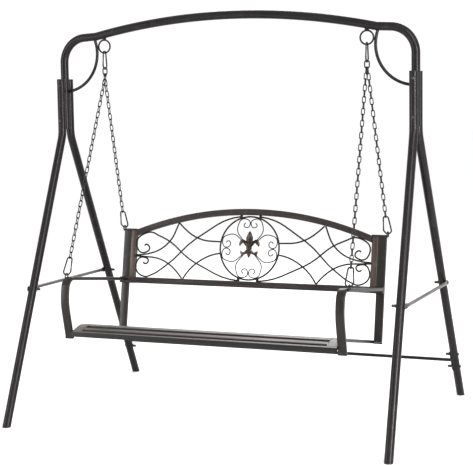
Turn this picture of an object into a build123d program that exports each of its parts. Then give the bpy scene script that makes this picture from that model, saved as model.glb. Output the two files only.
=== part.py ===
from build123d import *
import math
import os

os.makedirs("parts", exist_ok=True)

# Garden swing bench: an arched A-frame stand of round tube, and a bench of flat tube
# with a scrolled back that hangs in it on four chains with snap hooks.
# Millimetres, +Z up, +Y towards the bench's back, origin on the ground midway between the feet.

# Fits and fasteners
fit = 0.3
link_fit = 0.3
pin_fit = 0.1
hole_fit = 0.25
bolt_d = 8.0
bolt_head_d = 15.0
bolt_head_height = 4.5
bolt_head_taper_angle = 30.0
nut_across = 13.0
nut_height = 6.5
thread_end = 4.0
cut_overrun = 60.0
mitre_overrun = 12.0

# Stand: four bent legs, two side braces and a rear rail
tube_d = 38.0
tube_wall = 1.5
foot_half_width = 884.0
front_foot_reach = 554.4
rear_foot_reach = 727.3
leg_top_half_width = 852.7
leg_bend_height = 1291.0
leg_bend_radius = 120.0
leg_top_drop = 198.5
foot_pad = 6.0
plug_depth = 20.0
cap_thickness = 4.0
upper_bolt_drop = 27.0
lower_bolt_rise = 67.0
brace_height = 593.0
brace_d = 16.0
brace_flat = 5.0
brace_eye_width = 24.0
brace_neck = 34.0
rail_height = 189.0
rail_d = 16.0
bracket_thickness = 3.0
bracket_length = 100.0
bracket_bolt_spacing = 74.0
bracket_wrap = 110.0

# Top frame: corner tubes, the shallow arch, curved braces and hanger rings
down_tube_rise = 31.0
kink_half_width = 680.0
kink_height = 1748.5
arch_rise = 74.0
corner_radius = 115.0
corner_slope = 3.0
curve_radius = 177.0
curve_drop = 76.5
curve_bar_d = 13.0
curve_start_angle = 270.0
curve_end_angle = 390.0
ring_outer_d = 67.5
ring_wire = 8.0
ring_drop = 47.0
lug_width = 20.0

# Hanging gear: snap hooks, oval links and chain
hook_wire = 7.0
hook_play = 0.6
hook_length = 90.0
hook_narrow = 29.0
hook_spine_out = 21.0
hook_nose_in = 6.0
hook_nose_out = 17.5
hook_nose_rise = 15.0
hook_spine_radius = 17.0
hook_nose_radius = 9.0
gate_start = 15.0
gate_end = 60.5
gate_play = 0.4
gate_width = 6.0
gate_pin_inset = 6.0
gate_pin_d = 2.2
tongue = 2.2
tongue_play = 0.4
tongue_length = 5.0
oval_wire = 6.0
oval_length = 40.0
oval_width = 27.0
chain_wire = 4.5
chain_pitch = 27.5
chain_width = 18.5
chain_lane = 2.6

# Bench: side frames of flat tube, set on a common tilt
bench_tilt = 5.1
bench_height = 387.0
bench_reach = 365.1
side_width = 38.0
side_depth = 15.0
side_wall = 1.2
side_centre = 643.0
post_foot_y = -20.0
post_bulge_y = -76.0
post_bulge_z = 172.0
post_bulge_radius = 220.0
arm_front_y = -62.0
arm_front_z = 270.0
arm_bend_radius = 44.0
arm_rear_z = 246.0
end_cap = 8.0
eye_wire = 6.0
eye_radius = 12.0
eye_lift = 15.0
eye_play = 1.2
front_eye_y = -21.0

# Back: posts, rails and scrollwork, on a plane that leans from the seat
back_lean = 5.4
back_foot_y = 495.0
back_wall = 2.0
post_front = -8.0
post_bottom = 8.0
post_top = 483.0
end_post_width = 30.0
end_post_bottom = 226.0
rail_depth = 20.0
low_rail_height = 29.0
low_rail_centre = 241.0
low_rail_half_width = 662.0
top_rail_height = 29.5
top_rail_apex = 598.0
top_rail_rise = 108.0
top_rail_reach = 585.0
top_rail_front = -14.0
cap_plate = 8.0
cap_plate_depth = 24.0
scroll_wire = 5.0
ring_bar = 7.0
ring_rail_gap = 4.0
heart_wire = 4.0
pad_width = 12.0
pad_centre = 48.0
pad_depth = 7.0
ornament_height = 126.0
ornament_rise = 18.0
ornament_thickness = 5.0
ornament_relief = 3.0

# Outline tables: scrolls as shares of the panel's half width and half height from the ring's centre
upper_scroll_angle = 114.0
upper_scroll_end_angle = 183.6
upper_scroll_shares = ((0.9183, -0.0064), (0.8787, -0.0385), (0.9284, -0.2372), (0.9929, 0.0256),
                       (0.8896, 0.4006), (0.7717, 0.2724), (0.4583, -0.5))
lower_scroll_angle = -114.0
lower_scroll_end_angle = 173.5
lower_scroll_shares = ((0.9267, -0.5321), (0.8863, -0.5064), (0.9351, -0.3718), (0.9949, -0.6494),
                       (0.9048, -0.9700), (0.8416, -0.8951), (0.7245, -0.6090), (0.4718, 0.2372))
scroll_end_share = 0.962
outer_arc_shares = (0.7060, 0.1154)
outer_low_arc_shares = (0.7009, -0.5429)
inner_arc_shares = (0.4381, 0.2500)
inner_low_arc_shares = (0.4549, -0.5064)
ring_side_shares = (0.1712, -0.1795)
post_side_shares = (-0.3080, -0.3430)
rail_contact_shares = (0.6210, 0.5700)
heart_angle = 46.0
heart_end_angle = 150.0
heart_shares = ((0.2110, 0.2316), (0.4433, 0.6667), (0.2488, 0.9505), (0.0148, 0.7973),
                (0.1375, 0.6667), (0.2268, 0.7423), (0.1787, 0.8110))
ornament_shares = ((0.0, 0.500), (0.079, 0.349), (0.139, 0.222), (0.121, 0.119), (0.175, 0.127),
                   (0.262, 0.190), (0.365, 0.143), (0.413, 0.016), (0.381, -0.079), (0.341, -0.032),
                   (0.300, 0.046), (0.238, 0.079), (0.151, 0.0), (0.087, -0.111), (0.079, -0.175),
                   (0.119, -0.238), (0.206, -0.294), (0.286, -0.294), (0.341, -0.230), (0.349, -0.318),
                   (0.294, -0.445), (0.214, -0.413), (0.151, -0.389), (0.095, -0.444))
bud_shares = ((0.0, 0.500), (0.079, 0.349), (0.139, 0.222), (0.121, 0.119), (0.0, 0.080))
band_shares = (0.115, 0.045)

# Seat: a band that rises to a rounded front edge, with slats and bearers let into it
seat_front_y = -50.0
seat_front_z = 29.5
seat_crest_y = 38.0
seat_crest_z = 62.5
seat_rear_y = 505.0
seat_rear_z = 14.5
seat_crest_radius = 150.0
seat_band = 15.0
seat_rail_width = 50.0
seat_wall = 1.2
front_rail_depth = 16.0
front_rail_height = 20.0
rear_rail_depth = 15.0
slat_thickness = 8.0
slat_wall = 1.0
lip_slat_start = -21.0
lip_slat_width = 26.0
slat_start = 22.0
slat_width = 50.0
slat_gap = 18.0
slat_count = 7
bearer_centre = 200.0
bearer_width = 30.0
bearer_depth = 15.0

# Rounds drawn in flats: how many flats, and how far one facet of a bent bar turns
tube_flat_count = 12
bar_flat_count = 8
bolt_flat_count = 6
pin_flat_count = 8
eye_flat_count = 12
hanger_ring_flat_count = 16
centre_ring_flat_count = 32
arch_facet_count = 8
bend_facet_angle = 16.0
hook_facet_angle = 30.0
scroll_facet_angle = 28.0
heart_facet_angle = 60.0


def foot_half_length(run):
    """Half the length of the ellipse that a leaning leg's end makes on the ground."""
    return tube_d / 2 * math.hypot(1, run / leg_bend_height)


leg_top_height = kink_height - leg_top_drop
upper_bolt_height = leg_top_height - upper_bolt_drop
lower_bolt_height = leg_bend_height + lower_bolt_rise
down_tube_bottom = leg_bend_height + down_tube_rise
curve_height = kink_height - curve_drop
ring_height = kink_height - ring_drop
leg_offset = tube_d + fit
front_run = front_foot_reach - leg_offset
rear_run = rear_foot_reach - leg_offset
pivot_y = (front_foot_reach + foot_half_length(front_run) - rear_foot_reach - foot_half_length(rear_run)) / 2
pivot_z = ring_height - (ring_outer_d - ring_wire) / 2
leg_spread = foot_half_width - leg_top_half_width
plug_width = tube_d - 2 * tube_wall - 2 * fit


def solids_of(shapes):
    """One node that holds separate solids."""
    return Compound([solid for shape in shapes for solid in shape.solids()])


def along(section, line):
    """A section carried along a line of straight runs in one plane, mitred where two runs meet."""
    line = [Vector(*point) for point in line]
    across = (line[1] - line[0]).cross(line[-1] - line[0])
    across = across.normalized() if across.length > 0 else Vector(1, 0, 0)
    ways = [(after - here).normalized() for here, after in zip(line, line[1:])]
    runs = []
    for index, go in enumerate(ways):
        start, end = line[index], line[index + 1]
        first = index == 0
        last = index == len(ways) - 1
        low = start if first else start - go * mitre_overrun
        high = end if last else end + go * mitre_overrun
        run = extrude(Plane(origin=low, x_dir=across, z_dir=go) * section, (high - low).length)
        if not first:
            run = split(run, bisect_by=Plane(origin=start, z_dir=ways[index - 1] + go), keep=Keep.TOP)
        if not last:
            run = split(run, bisect_by=Plane(origin=end, z_dir=go + ways[index + 1]), keep=Keep.BOTTOM)
        runs.append(run)
    body = runs[0]
    for run in runs[1:]:
        body += run
    return body


def bent(section, points, radii=()):
    """A section carried along straight runs in one plane, with a bend in short facets at each inner point."""
    points = [Vector(*point) for point in points]
    line = [points[0]]
    for before, here, after, radius in zip(points, points[1:], points[2:], radii):
        go, leave = (here - before).normalized(), (after - here).normalized()
        turn = math.radians(go.get_angle(leave))
        start = here - go * (radius * math.tan(turn / 2))
        inward = (leave - go * go.dot(leave)).normalized()
        count = math.ceil(math.degrees(turn) / bend_facet_angle)
        for step in range(count + 1):
            angle = turn * step / count
            line.append(start + go * (radius * math.sin(angle)) + inward * (radius * (1 - math.cos(angle))))
    line.append(points[-1])
    return along(section, line)


def flats(diameter, count=tube_flat_count):
    """A round drawn in flats, which is as wide across its flats as the round."""
    return RegularPolygon(diameter / 2, count, major_radius=False, rotation=180 / count)


def tube_section(diameter, wall):
    """A round tube's section, drawn in flats inside and out."""
    return flats(diameter) - flats(diameter - 2 * wall)


def box_between(low, high):
    """A box from its lowest to its highest corner."""
    size = [b - a for a, b in zip(low, high)]
    return Pos(*[(a + b) / 2 for a, b in zip(low, high)]) * Box(*size)


def pair(shape):
    """A right-hand shape and its mirror image on the left."""
    return {"right": shape, "left": mirror(shape, about=Plane.YZ)}


def rod_along(start, direction, diameter, length):
    """A rod with flats, from a start point along a direction."""
    return extrude(Plane(origin=start, z_dir=direction) * RegularPolygon(diameter / 2, bolt_flat_count), length)


# Stand


def leg_points(reach_sign, reach):
    """The right-hand leg's centre line, from its top down past the ground."""
    top_y = pivot_y + reach_sign * leg_offset
    bend = Vector(leg_top_half_width, top_y, leg_bend_height)
    foot = Vector(foot_half_width, pivot_y + reach_sign * reach, 0)
    below = foot + (foot - bend).normalized() * cut_overrun
    return Vector(leg_top_half_width, top_y, leg_top_height), bend, below


def leg_centre(reach_sign, reach, height):
    """The point of the right-hand leg's centre line at a height below its bend."""
    rise = height / leg_bend_height
    y = reach_sign * (reach + (leg_offset - reach) * rise)
    return Vector(foot_half_width - leg_spread * rise, pivot_y + y, height)


def leg_plane(reach_sign, reach, height):
    """Plane on the right-hand leg's centre line: Z up the leg, X towards the other side of the stand."""
    centre = leg_centre(reach_sign, reach, height)
    up = (leg_centre(reach_sign, reach, leg_bend_height) - leg_centre(reach_sign, reach, 0)).normalized()
    inward = (Vector(-1, 0, 0) - up * Vector(-1, 0, 0).dot(up)).normalized()
    return Plane(origin=centre, x_dir=inward, z_dir=up)


def slab(centre, low, high):
    """A block round a foot, between two heights."""
    half = 2 * tube_d
    return box_between((centre.X - half, centre.Y - half, low), (centre.X + half, centre.Y + half, high))


def stand_bolt_holes():
    """The two holes, along Y, that clamp both legs to the down tube between them."""
    span = 4 * leg_offset
    return [rod_along((leg_top_half_width, pivot_y - span / 2, z), (0, 1, 0), bolt_d + 2 * hole_fit, span)
            for z in (upper_bolt_height, lower_bolt_height)]


def brace_hole(centre):
    span = 4 * tube_d
    return rod_along((centre.X - span / 2, centre.Y, centre.Z), (1, 0, 0), bolt_d + 2 * hole_fit, span)


def leg(reach_sign, reach):
    """One right-hand leg, cut level above its pad and drilled for its bolts."""
    foot = leg_centre(reach_sign, reach, 0)
    spin = math.degrees(math.atan2(leg_spread, reach - leg_offset))
    section = Rot(0, 0, -reach_sign * spin) * tube_section(tube_d, tube_wall)
    body = bent(section, leg_points(reach_sign, reach), [leg_bend_radius])
    body -= slab(foot, -2 * cut_overrun, foot_pad)
    for hole in stand_bolt_holes():
        body -= hole
    body -= brace_hole(leg_centre(reach_sign, reach, brace_height))
    if reach_sign > 0:
        for hole in bracket_holes():
            body -= hole
    return body


def foot_pad_and_plug(reach_sign, reach):
    """The plastic foot: a pad under the tube's level cut and a plug inside the bore."""
    plane = leg_plane(reach_sign, reach, 0)
    foot = plane.origin
    plug = rod_along(foot, plane.z_dir, plug_width, plug_depth)
    pad = plate(plane, flats(tube_d), 2 * tube_d) & slab(foot, 0, foot_pad - fit)
    return pad + (plug & slab(foot, 0, foot_pad + plug_depth))


def tube_cap(centre, up):
    """A flat plastic cap on a tube's end, with its plug inside the bore."""
    cap = extrude(Plane(origin=centre + up * fit, x_dir=(1, 0, 0), z_dir=up) * flats(tube_d), cap_thickness)
    return cap + rod_along(centre - up * plug_depth, up, plug_width, plug_depth + cap_thickness)


def tube_caps():
    """Caps for the four leg tops and the two down tubes' lower ends."""
    up = Vector(0, 0, 1)
    right = [tube_cap(Vector(leg_top_half_width, pivot_y + sign * leg_offset, leg_top_height), up) for sign in (-1, 1)]
    right.append(tube_cap(Vector(leg_top_half_width, pivot_y, down_tube_bottom), -up))
    return solids_of(shape for cap in right for shape in pair(cap).values())


def hex_nut(start, direction):
    """A plain nut, open at its bore, with its seat at the start point."""
    ring = flats(nut_across, bolt_flat_count) - RegularPolygon(bolt_d / 2 + pin_fit, bolt_flat_count)
    return extrude(Plane(origin=start, z_dir=direction) * ring, nut_height)


def bolt_set(start, direction, grip):
    """A round-headed bolt with its head behind the start point, and the nut at the far end of its grip."""
    direction = Vector(*direction).normalized()
    start = Vector(*start)
    seat = Plane(origin=start - direction * fit, z_dir=-direction)
    head = extrude(seat * RegularPolygon(bolt_head_d / 2, bar_flat_count), bolt_head_height,
                   taper=bolt_head_taper_angle)
    shank = rod_along(start - direction * (2 * fit), direction, bolt_d, grip + nut_height + thread_end)
    return [head + shank, hex_nut(start + direction * (grip + fit), direction)]


def leg_bolts():
    """Bolts along Y that clamp both legs to the down tube."""
    outside = leg_offset + tube_d / 2
    sets = [bolt_set((leg_top_half_width, pivot_y - outside, z), (0, 1, 0), 2 * outside)
            for z in (upper_bolt_height, lower_bolt_height)]
    return solids_of(shape for part in sum(sets, []) for shape in pair(part).values())


def brace_end_points():
    front = leg_centre(-1, front_foot_reach, brace_height)
    rear = leg_centre(1, rear_foot_reach, brace_height)
    return front, rear


def brace_plane_x():
    """Middle of the brace's flattened ends, which lie on the legs' outer sides."""
    return brace_end_points()[0].X + tube_d / 2 + 2 * fit + brace_flat / 2


def squashed(width, height, place):
    """A round with few flats, squashed to a width and a height."""
    turns = [2 * math.pi * index / tube_flat_count for index in range(tube_flat_count)]
    points = [(width / 2 * math.cos(turn), height / 2 * math.sin(turn)) for turn in turns]
    return place * make_face(Polyline(*points, close=True))


def side_brace():
    """The right-hand side brace: a thin tube, flattened and drilled at both ends."""
    front, rear = brace_end_points()
    x = brace_plane_x()
    neck_front = front.Y + brace_neck
    neck_rear = rear.Y - brace_neck
    middle = Plane((x, neck_front, brace_height), x_dir=(1, 0, 0), z_dir=(0, 1, 0))
    body = extrude(squashed(brace_d, brace_d, middle), neck_rear - neck_front)
    for end, neck, sign in ((front, neck_front, -1), (rear, neck_rear, 1)):
        round_end = Plane((x, neck, brace_height), x_dir=(1, 0, 0), z_dir=(0, sign, 0))
        flat_y = end.Y - sign * brace_eye_width / 2
        flat_end = Plane((x, flat_y, brace_height), x_dir=(1, 0, 0), z_dir=(0, sign, 0))
        body += loft([squashed(brace_d, brace_d, round_end), squashed(brace_flat, brace_eye_width, flat_end)],
                     ruled=True)
        low, high = sorted((flat_y, end.Y))
        body += box_between((x - brace_flat / 2, low, brace_height - brace_eye_width / 2),
                            (x + brace_flat / 2, high, brace_height + brace_eye_width / 2))
        eye = Plane((x, end.Y, brace_height), x_dir=(0, 1, 0), z_dir=(1, 0, 0))
        body += plate(eye, flats(brace_eye_width), brace_flat)
        body -= brace_hole(Vector(x, end.Y, brace_height))
    return body


def brace_bolts():
    """Bolts along X through the brace ends and the legs, nuts on the inner side."""
    outer = brace_plane_x() + brace_flat / 2
    grip = brace_flat + 3 * fit + tube_d
    sets = [bolt_set((outer, point.Y, brace_height), (-1, 0, 0), grip) for point in brace_end_points()]
    return solids_of(shape for part in sum(sets, []) for shape in pair(part).values())


def bracket_plane():
    """The rear leg's plane at the rail."""
    return leg_plane(1, rear_foot_reach, rail_height)


def bracket_holes():
    span = 4 * tube_d
    plane = bracket_plane()
    return [rod_along(plane.origin + plane.z_dir * z - plane.x_dir * (span / 2), plane.x_dir,
                      bolt_d + 2 * hole_fit, span)
            for z in (-bracket_bolt_spacing / 2, bracket_bolt_spacing / 2)]


def rail_bracket():
    """A saddle plate, curved round the inner side of the right-hand rear leg."""
    inner = tube_d / 2 + fit
    outer = inner + bracket_thickness
    reach = outer * math.tan(math.radians(bracket_wrap / 2))
    sector = make_face(Polyline((0, 0), (outer, reach), (2 * outer, reach), (2 * outer, -reach), (outer, -reach),
                                (0, 0)))
    profile = (flats(2 * outer) - flats(2 * inner)) & sector
    saddle = plate(bracket_plane(), profile, bracket_length)
    for hole in bracket_holes():
        saddle -= hole
    return saddle


def rear_rail():
    """The round rail between the rear legs, with its ends cut to the brackets' curve."""
    plane = bracket_plane()
    centre = plane.origin
    middle = Plane(origin=(0, centre.Y, rail_height), x_dir=(0, 1, 0), z_dir=(1, 0, 0))
    rail = plate(middle, flats(rail_d), 2 * centre.X)
    saddle = plate(plane, flats(tube_d + 2 * (2 * fit + bracket_thickness)), 2 * bracket_length)
    for side in pair(saddle).values():
        rail -= side
    return rail.solids().sort_by(SortBy.VOLUME)[-1]


def rail_bolts():
    """Bolts above and below the rear rail, with their heads on the brackets."""
    plane = bracket_plane()
    outer = tube_d / 2 + fit + bracket_thickness
    grip = outer + tube_d / 2
    sets = [bolt_set(plane.origin + plane.z_dir * z + plane.x_dir * outer, -plane.x_dir, grip)
            for z in (-bracket_bolt_spacing / 2, bracket_bolt_spacing / 2)]
    return solids_of(shape for part in sum(sets, []) for shape in pair(part).values())


# Top frame

arch_radius = (kink_half_width ** 2 + arch_rise ** 2) / (2 * arch_rise)
arch_centre_z = kink_height + arch_rise - arch_radius
arch_end_angle = math.degrees(math.asin(kink_half_width / arch_radius))


def mitre_plane(side, shift):
    """The joint plane at a kink, facing outwards, moved outwards by a shift."""
    slope = math.radians((arch_end_angle + corner_slope) / 2)
    out = Vector(side * math.cos(slope), 0, -math.sin(slope))
    return Plane(origin=Vector(side * kink_half_width, pivot_y, kink_height) + out * shift, z_dir=out)


def arch_point(angle):
    return (arch_radius * math.sin(angle), pivot_y, arch_centre_z + arch_radius * math.cos(angle))


def arch_sweep(section):
    """A section carried along the arch, a little past both kinks."""
    reach = math.radians(arch_end_angle) + tube_d / arch_radius
    steps = range(arch_facet_count + 1)
    return along(section, [arch_point(reach * (2 * step / arch_facet_count - 1)) for step in steps])


def arch_tube():
    """The shallow arch, mitred to the corner tubes at both kinks."""
    body = arch_sweep(tube_section(tube_d, tube_wall))
    for side in (-1, 1):
        body = split(body, bisect_by=mitre_plane(side, -fit), keep=Keep.BOTTOM)
    return body


def corner_vertex():
    drop = (leg_top_half_width - kink_half_width) * math.tan(math.radians(corner_slope))
    return (leg_top_half_width, pivot_y, kink_height - drop)


def corner_points():
    """The right-hand corner tube's centre line: up between the legs, then in to the kink."""
    slope = math.radians(corner_slope)
    inner_end = (kink_half_width - tube_d * math.cos(slope), pivot_y, kink_height + tube_d * math.sin(slope))
    return (leg_top_half_width, pivot_y, down_tube_bottom), corner_vertex(), inner_end


def corner_tube():
    """The right-hand corner tube, mitred at the kink and drilled for the leg bolts."""
    body = bent(tube_section(tube_d, tube_wall), corner_points(), [corner_radius])
    body = split(body, bisect_by=mitre_plane(1, 0), keep=Keep.TOP)
    for hole in stand_bolt_holes():
        body -= hole
    return body


def top_frame():
    """The arch with both corner tubes."""
    return solids_of([arch_tube(), *pair(corner_tube()).values()])


def largest(shape):
    return shape.solids().sort_by(SortBy.VOLUME)[-1]


def curved_brace():
    """The right-hand quarter-round brace from the down tube up to the corner tube's underside."""
    def spot(angle):
        turn = math.radians(angle)
        return (leg_top_half_width + curve_radius * math.cos(turn), pivot_y, curve_height + curve_radius * math.sin(turn))
    count = math.ceil((curve_end_angle - curve_start_angle) / bend_facet_angle)
    turn = (curve_end_angle - curve_start_angle) / count
    line = [spot(curve_start_angle - turn * step) for step in range(count + 1)]
    return clear_of_tubes(along(flats(curve_bar_d, bar_flat_count), line))


def clear_of_tubes(shape):
    """What is left of a shape beside the corner tube and the arch."""
    around = flats(tube_d + 2 * fit)
    shape = largest(shape - bent(around, corner_points(), [corner_radius]))
    return largest(shape - arch_sweep(around))


# Hanging gear

ring_reach = curve_radius + curve_bar_d / 2 + fit + ring_outer_d / 2
ring_x = leg_top_half_width - math.sqrt(ring_reach ** 2 - (ring_height - curve_height) ** 2)
ring_centre_d = ring_outer_d - ring_wire


def wire_ring(radius, diameter, count):
    """A closed ring of wire in the X-Y plane: facets round it, and an eight-sided section."""
    half = diameter / 2
    ring = flats(2 * (radius + half), count) - flats(2 * (radius - half), count)
    body = plate(Plane.XY, ring, diameter)
    rims = [edge for face in body.faces().filter_by(Axis.Z) for edge in face.edges()]
    return chamfer(rims, half * (2 - math.sqrt(2)))


def hanger_ring():
    """The right-hand ring under the arch, with its lug cut to the arch's curve."""
    place = Plane(origin=(ring_x, pivot_y, ring_height), x_dir=(1, 0, 0), z_dir=(0, -1, 0))
    ring = in_plane(place, wire_ring(ring_centre_d / 2, ring_wire, hanger_ring_flat_count))
    low = ring_height + ring_centre_d / 2
    lug = box_between((ring_x - lug_width / 2, pivot_y - ring_wire / 2, low),
                      (ring_x + lug_width / 2, pivot_y + ring_wire / 2, low + tube_d))
    return ring + clear_of_tubes(lug)


def turned(heading, angle):
    """A unit direction in the plane, turned from a heading in degrees."""
    total = math.radians(heading + angle)
    return math.cos(total), math.sin(total)


def arc_points(start, heading, end, facet):
    """Points after the start, along the arc that leaves it on a heading and reaches the end."""
    chord = math.hypot(end[0] - start[0], end[1] - start[1])
    bearing = math.degrees(math.atan2(end[1] - start[1], end[0] - start[0]))
    half = (bearing - heading + 180) % 360 - 180
    count = max(1, math.ceil(abs(2 * half) / facet))
    points = []
    for step in range(1, count + 1):
        share = step / count
        ratio = math.sin(math.radians(half * share)) / math.sin(math.radians(half)) if abs(half) > 0.01 else share
        x, y = turned(heading, half * share)
        points.append((start[0] + chord * ratio * x, start[1] + chord * ratio * y))
    return points, heading + 2 * half


def biarc_points(start, heading, end, last_heading, facet):
    """Points after the start, along two arcs that meet both headings."""
    t0, t1 = turned(heading, 0), turned(last_heading, 0)
    vx, vy = end[0] - start[0], end[1] - start[1]
    along = vx * (t0[0] + t1[0]) + vy * (t0[1] + t1[1])
    spread = 2 * (1 - t0[0] * t1[0] - t0[1] * t1[1])
    length_sq = vx * vx + vy * vy
    if spread < 1e-6:
        reach = length_sq / (2 * along)
    else:
        reach = (math.sqrt(along * along + spread * length_sq) - along) / spread
    middle = ((start[0] + end[0] + reach * (t0[0] - t1[0])) / 2, (start[1] + end[1] + reach * (t0[1] - t1[1])) / 2)
    first, turn = arc_points(start, heading, middle, facet)
    second, turn = arc_points(middle, turn, end, facet)
    return first + second


def smooth_line(points, first_heading, last_heading, facet):
    """A smooth run of arcs through points, each heading taken from the circle through its neighbours."""
    def bearing(a, b):
        return math.degrees(math.atan2(b[1] - a[1], b[0] - a[0]))
    headings = [first_heading]
    for before, here, after in zip(points, points[1:], points[2:]):
        arriving, leaving = bearing(before, here), bearing(here, after)
        turn = (leaving - arriving + 180) % 360 - 180
        near, far = math.dist(before, here), math.dist(here, after)
        headings.append(arriving + turn * near / (near + far))
    headings.append(last_heading)
    line = [points[0]]
    for a, b, go, arrive in zip(points, points[1:], headings, headings[1:]):
        line += biarc_points(a, go, b, arrive, facet)
    return line


def rounded_line(points, radii, facet):
    """A polyline whose inner corners are rounded with the given radii."""
    line = [points[0]]
    for before, here, after, radius in zip(points, points[1:], points[2:], radii):
        arriving = math.degrees(math.atan2(here[1] - before[1], here[0] - before[0]))
        leaving = math.degrees(math.atan2(after[1] - here[1], after[0] - here[0]))
        turn = (leaving - arriving + 180) % 360 - 180
        cut = radius * math.tan(math.radians(abs(turn) / 2))
        back, ahead = turned(arriving, 0), turned(leaving, 0)
        start = (here[0] - cut * back[0], here[1] - cut * back[1])
        end = (here[0] + cut * ahead[0], here[1] + cut * ahead[1])
        line.append(start)
        line += arc_points(start, arriving, end, facet)[0]
    return line + [points[-1]]


def flat_bar(line, width):
    """The outline of a flat bar whose middle follows an open line."""
    left, right = [], []
    for index, (x, y) in enumerate(line):
        before = line[max(index - 1, 0)]
        after = line[min(index + 1, len(line) - 1)]
        sides = []
        for a, b in ((before, (x, y)), ((x, y), after)):
            length = math.dist(a, b)
            if length > 0:
                sides.append(((a[1] - b[1]) / length, (b[0] - a[0]) / length))
        first, second = sides[0], sides[-1]
        grow = width / 2 / (1 + first[0] * second[0] + first[1] * second[1])
        dx, dy = (first[0] + second[0]) * grow, (first[1] + second[1]) * grow
        left.append((x + dx, y + dy))
        right.append((x - dx, y - dy))
    return make_face(Polyline(*left, *reversed(right), close=True))


def plate(plane, outline, thickness):
    """An outline extruded to both sides of a plane."""
    return extrude(Plane(origin=plane.origin - plane.z_dir * (thickness / 2), x_dir=plane.x_dir, z_dir=plane.z_dir)
                   * outline, thickness)


# Snap hooks: in the hook's plane the load line is x = 0 and the narrow end's middle is the origin

hook_drop = hook_length - hook_wire
hook_narrow_half = (hook_narrow - hook_wire) / 2
hook_narrow_radius = hook_narrow_half
hook_inner = hook_length - 2 * hook_wire


def gate_side(distance):
    """A point of the hook's gate side, at a distance from its narrow corner."""
    dx, dy = hook_narrow_half - hook_nose_out, -(hook_drop - hook_nose_rise)
    length = math.hypot(dx, dy)
    return (-hook_narrow_half + dx * distance / length, dy * distance / length)


gate_heading = math.degrees(math.atan2(gate_side(1)[1], gate_side(1)[0] + hook_narrow_half))
gate_pin = gate_start + gate_pin_inset
gate_length = gate_end - gate_play - gate_pin


def gate_axes(plane):
    """Plane on the gate's pin, with X along the gate and Z along the pin."""
    x, y = gate_side(gate_pin)
    along = turned(gate_heading, 0)
    origin = plane.origin + plane.x_dir * x + plane.y_dir * y
    return Plane(origin=origin, x_dir=plane.x_dir * along[0] + plane.y_dir * along[1], z_dir=plane.z_dir)


def in_plane(plane, shape):
    """A shape drawn at the origin, moved into a plane's axes."""
    return plane.location * shape


def hook_body(plane):
    """A snap hook without its gate: a bent bar with a thin eye for the gate's pin and a thin nose."""
    corners = ((-hook_nose_out, -(hook_drop - hook_nose_rise)), (-hook_nose_in, -hook_drop),
               (hook_spine_out, -hook_drop), (hook_narrow_half, 0), (-hook_narrow_half, 0))
    radii = (hook_nose_radius, hook_nose_radius, hook_spine_radius, hook_narrow_radius, hook_narrow_radius)
    line = rounded_line((gate_side(gate_end), *corners, gate_side(gate_start)), radii, hook_facet_angle)
    body = plate(Plane.XY, flat_bar(line, hook_wire), hook_wire)
    hinge = gate_axes(Plane.XY)
    half = hook_wire / 2
    arm = box_between((-gate_pin_inset, -half, -tongue / 2), (0, half, tongue / 2))
    around = RegularPolygon(half, pin_flat_count)
    eye = plate(Plane.XY, around - RegularPolygon(gate_pin_d / 2 + pin_fit, pin_flat_count), tongue)
    arm = arm - plate(Plane.XY, around, hook_wire) + eye
    nose = gate_length + gate_play
    tip = box_between((nose - tongue_length, -gate_width / 2, -tongue / 2), (nose, gate_width / 2, tongue / 2))
    return in_plane(plane, body + in_plane(hinge, arm) + in_plane(hinge, tip))


def hook_gate(plane):
    """The hook's gate: a bar forked at both ends, with its pin."""
    half = gate_width / 2
    slot = tongue + 2 * tongue_play
    gate = box_between((0, -half, -half), (gate_length, half, half))
    gate += plate(Plane.XY, RegularPolygon(half, pin_flat_count), gate_width)
    clear = hook_wire / 2 + gate_play
    gate -= box_between((-gate_width, -gate_width, -slot / 2), (clear, gate_width, slot / 2))
    fork = gate_length - tongue_length
    gate -= box_between((fork, -gate_width, -slot / 2), (gate_length + gate_width, gate_width, slot / 2))
    gate += plate(Plane.XY, RegularPolygon(gate_pin_d / 2, pin_flat_count), gate_width)
    return in_plane(gate_axes(plane), gate)


def top_hook_plane(side):
    """The top hook hangs in the Y-Z plane from the ring's bottom wire, gate to the front."""
    z = pivot_z + ring_wire / 2 + hook_play + hook_wire / 2
    return Plane(origin=(side * ring_x, pivot_y, z), x_dir=(0, 1, 0), z_dir=(1, 0, 0))


oval_top = pivot_z + ring_wire / 2 + hook_play + hook_wire - hook_drop + hook_play + oval_wire / 2
oval_bottom = oval_top - (oval_length - oval_wire)


def oval_link(side):
    """The oval link in the top hook's wide end, in the X-Z plane."""
    inner = Rectangle(oval_width - 2 * oval_wire, oval_length - 2 * oval_wire)
    plane = Plane(origin=(side * ring_x, pivot_y, (oval_top + oval_bottom) / 2), x_dir=(1, 0, 0), z_dir=(0, -1, 0))
    return plate(plane, chamfer(Rectangle(oval_width, oval_length).vertices(), oval_wire) - inner, oval_wire)


# The bench hangs in one place: shapes drawn on its own axes are tilted and moved there
hang = Location((0, pivot_y - bench_reach, bench_height), (-bench_tilt, 0, 0))


def hung_point(x, y, z):
    tilt = math.radians(bench_tilt)
    return Vector(x, pivot_y - bench_reach + y * math.cos(tilt) + z * math.sin(tilt),
                  bench_height - y * math.sin(tilt) + z * math.cos(tilt))


lean = math.radians(back_lean)
low_rail_front_y = (back_foot_y + (post_front - fit - rail_depth) * math.cos(lean)
                    + low_rail_centre * math.sin(lean))
side_outer = side_centre + side_width / 2
side_inner = side_centre - side_width / 2
cap_top = post_top + fit + cap_plate
eye_x = side_outer + fit + eye_wire / 2


def arm_top(y):
    share = (y - arm_front_y) / (low_rail_front_y - arm_front_y)
    return arm_front_z + (arm_rear_z - arm_front_z) * share + side_depth / 2


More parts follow.
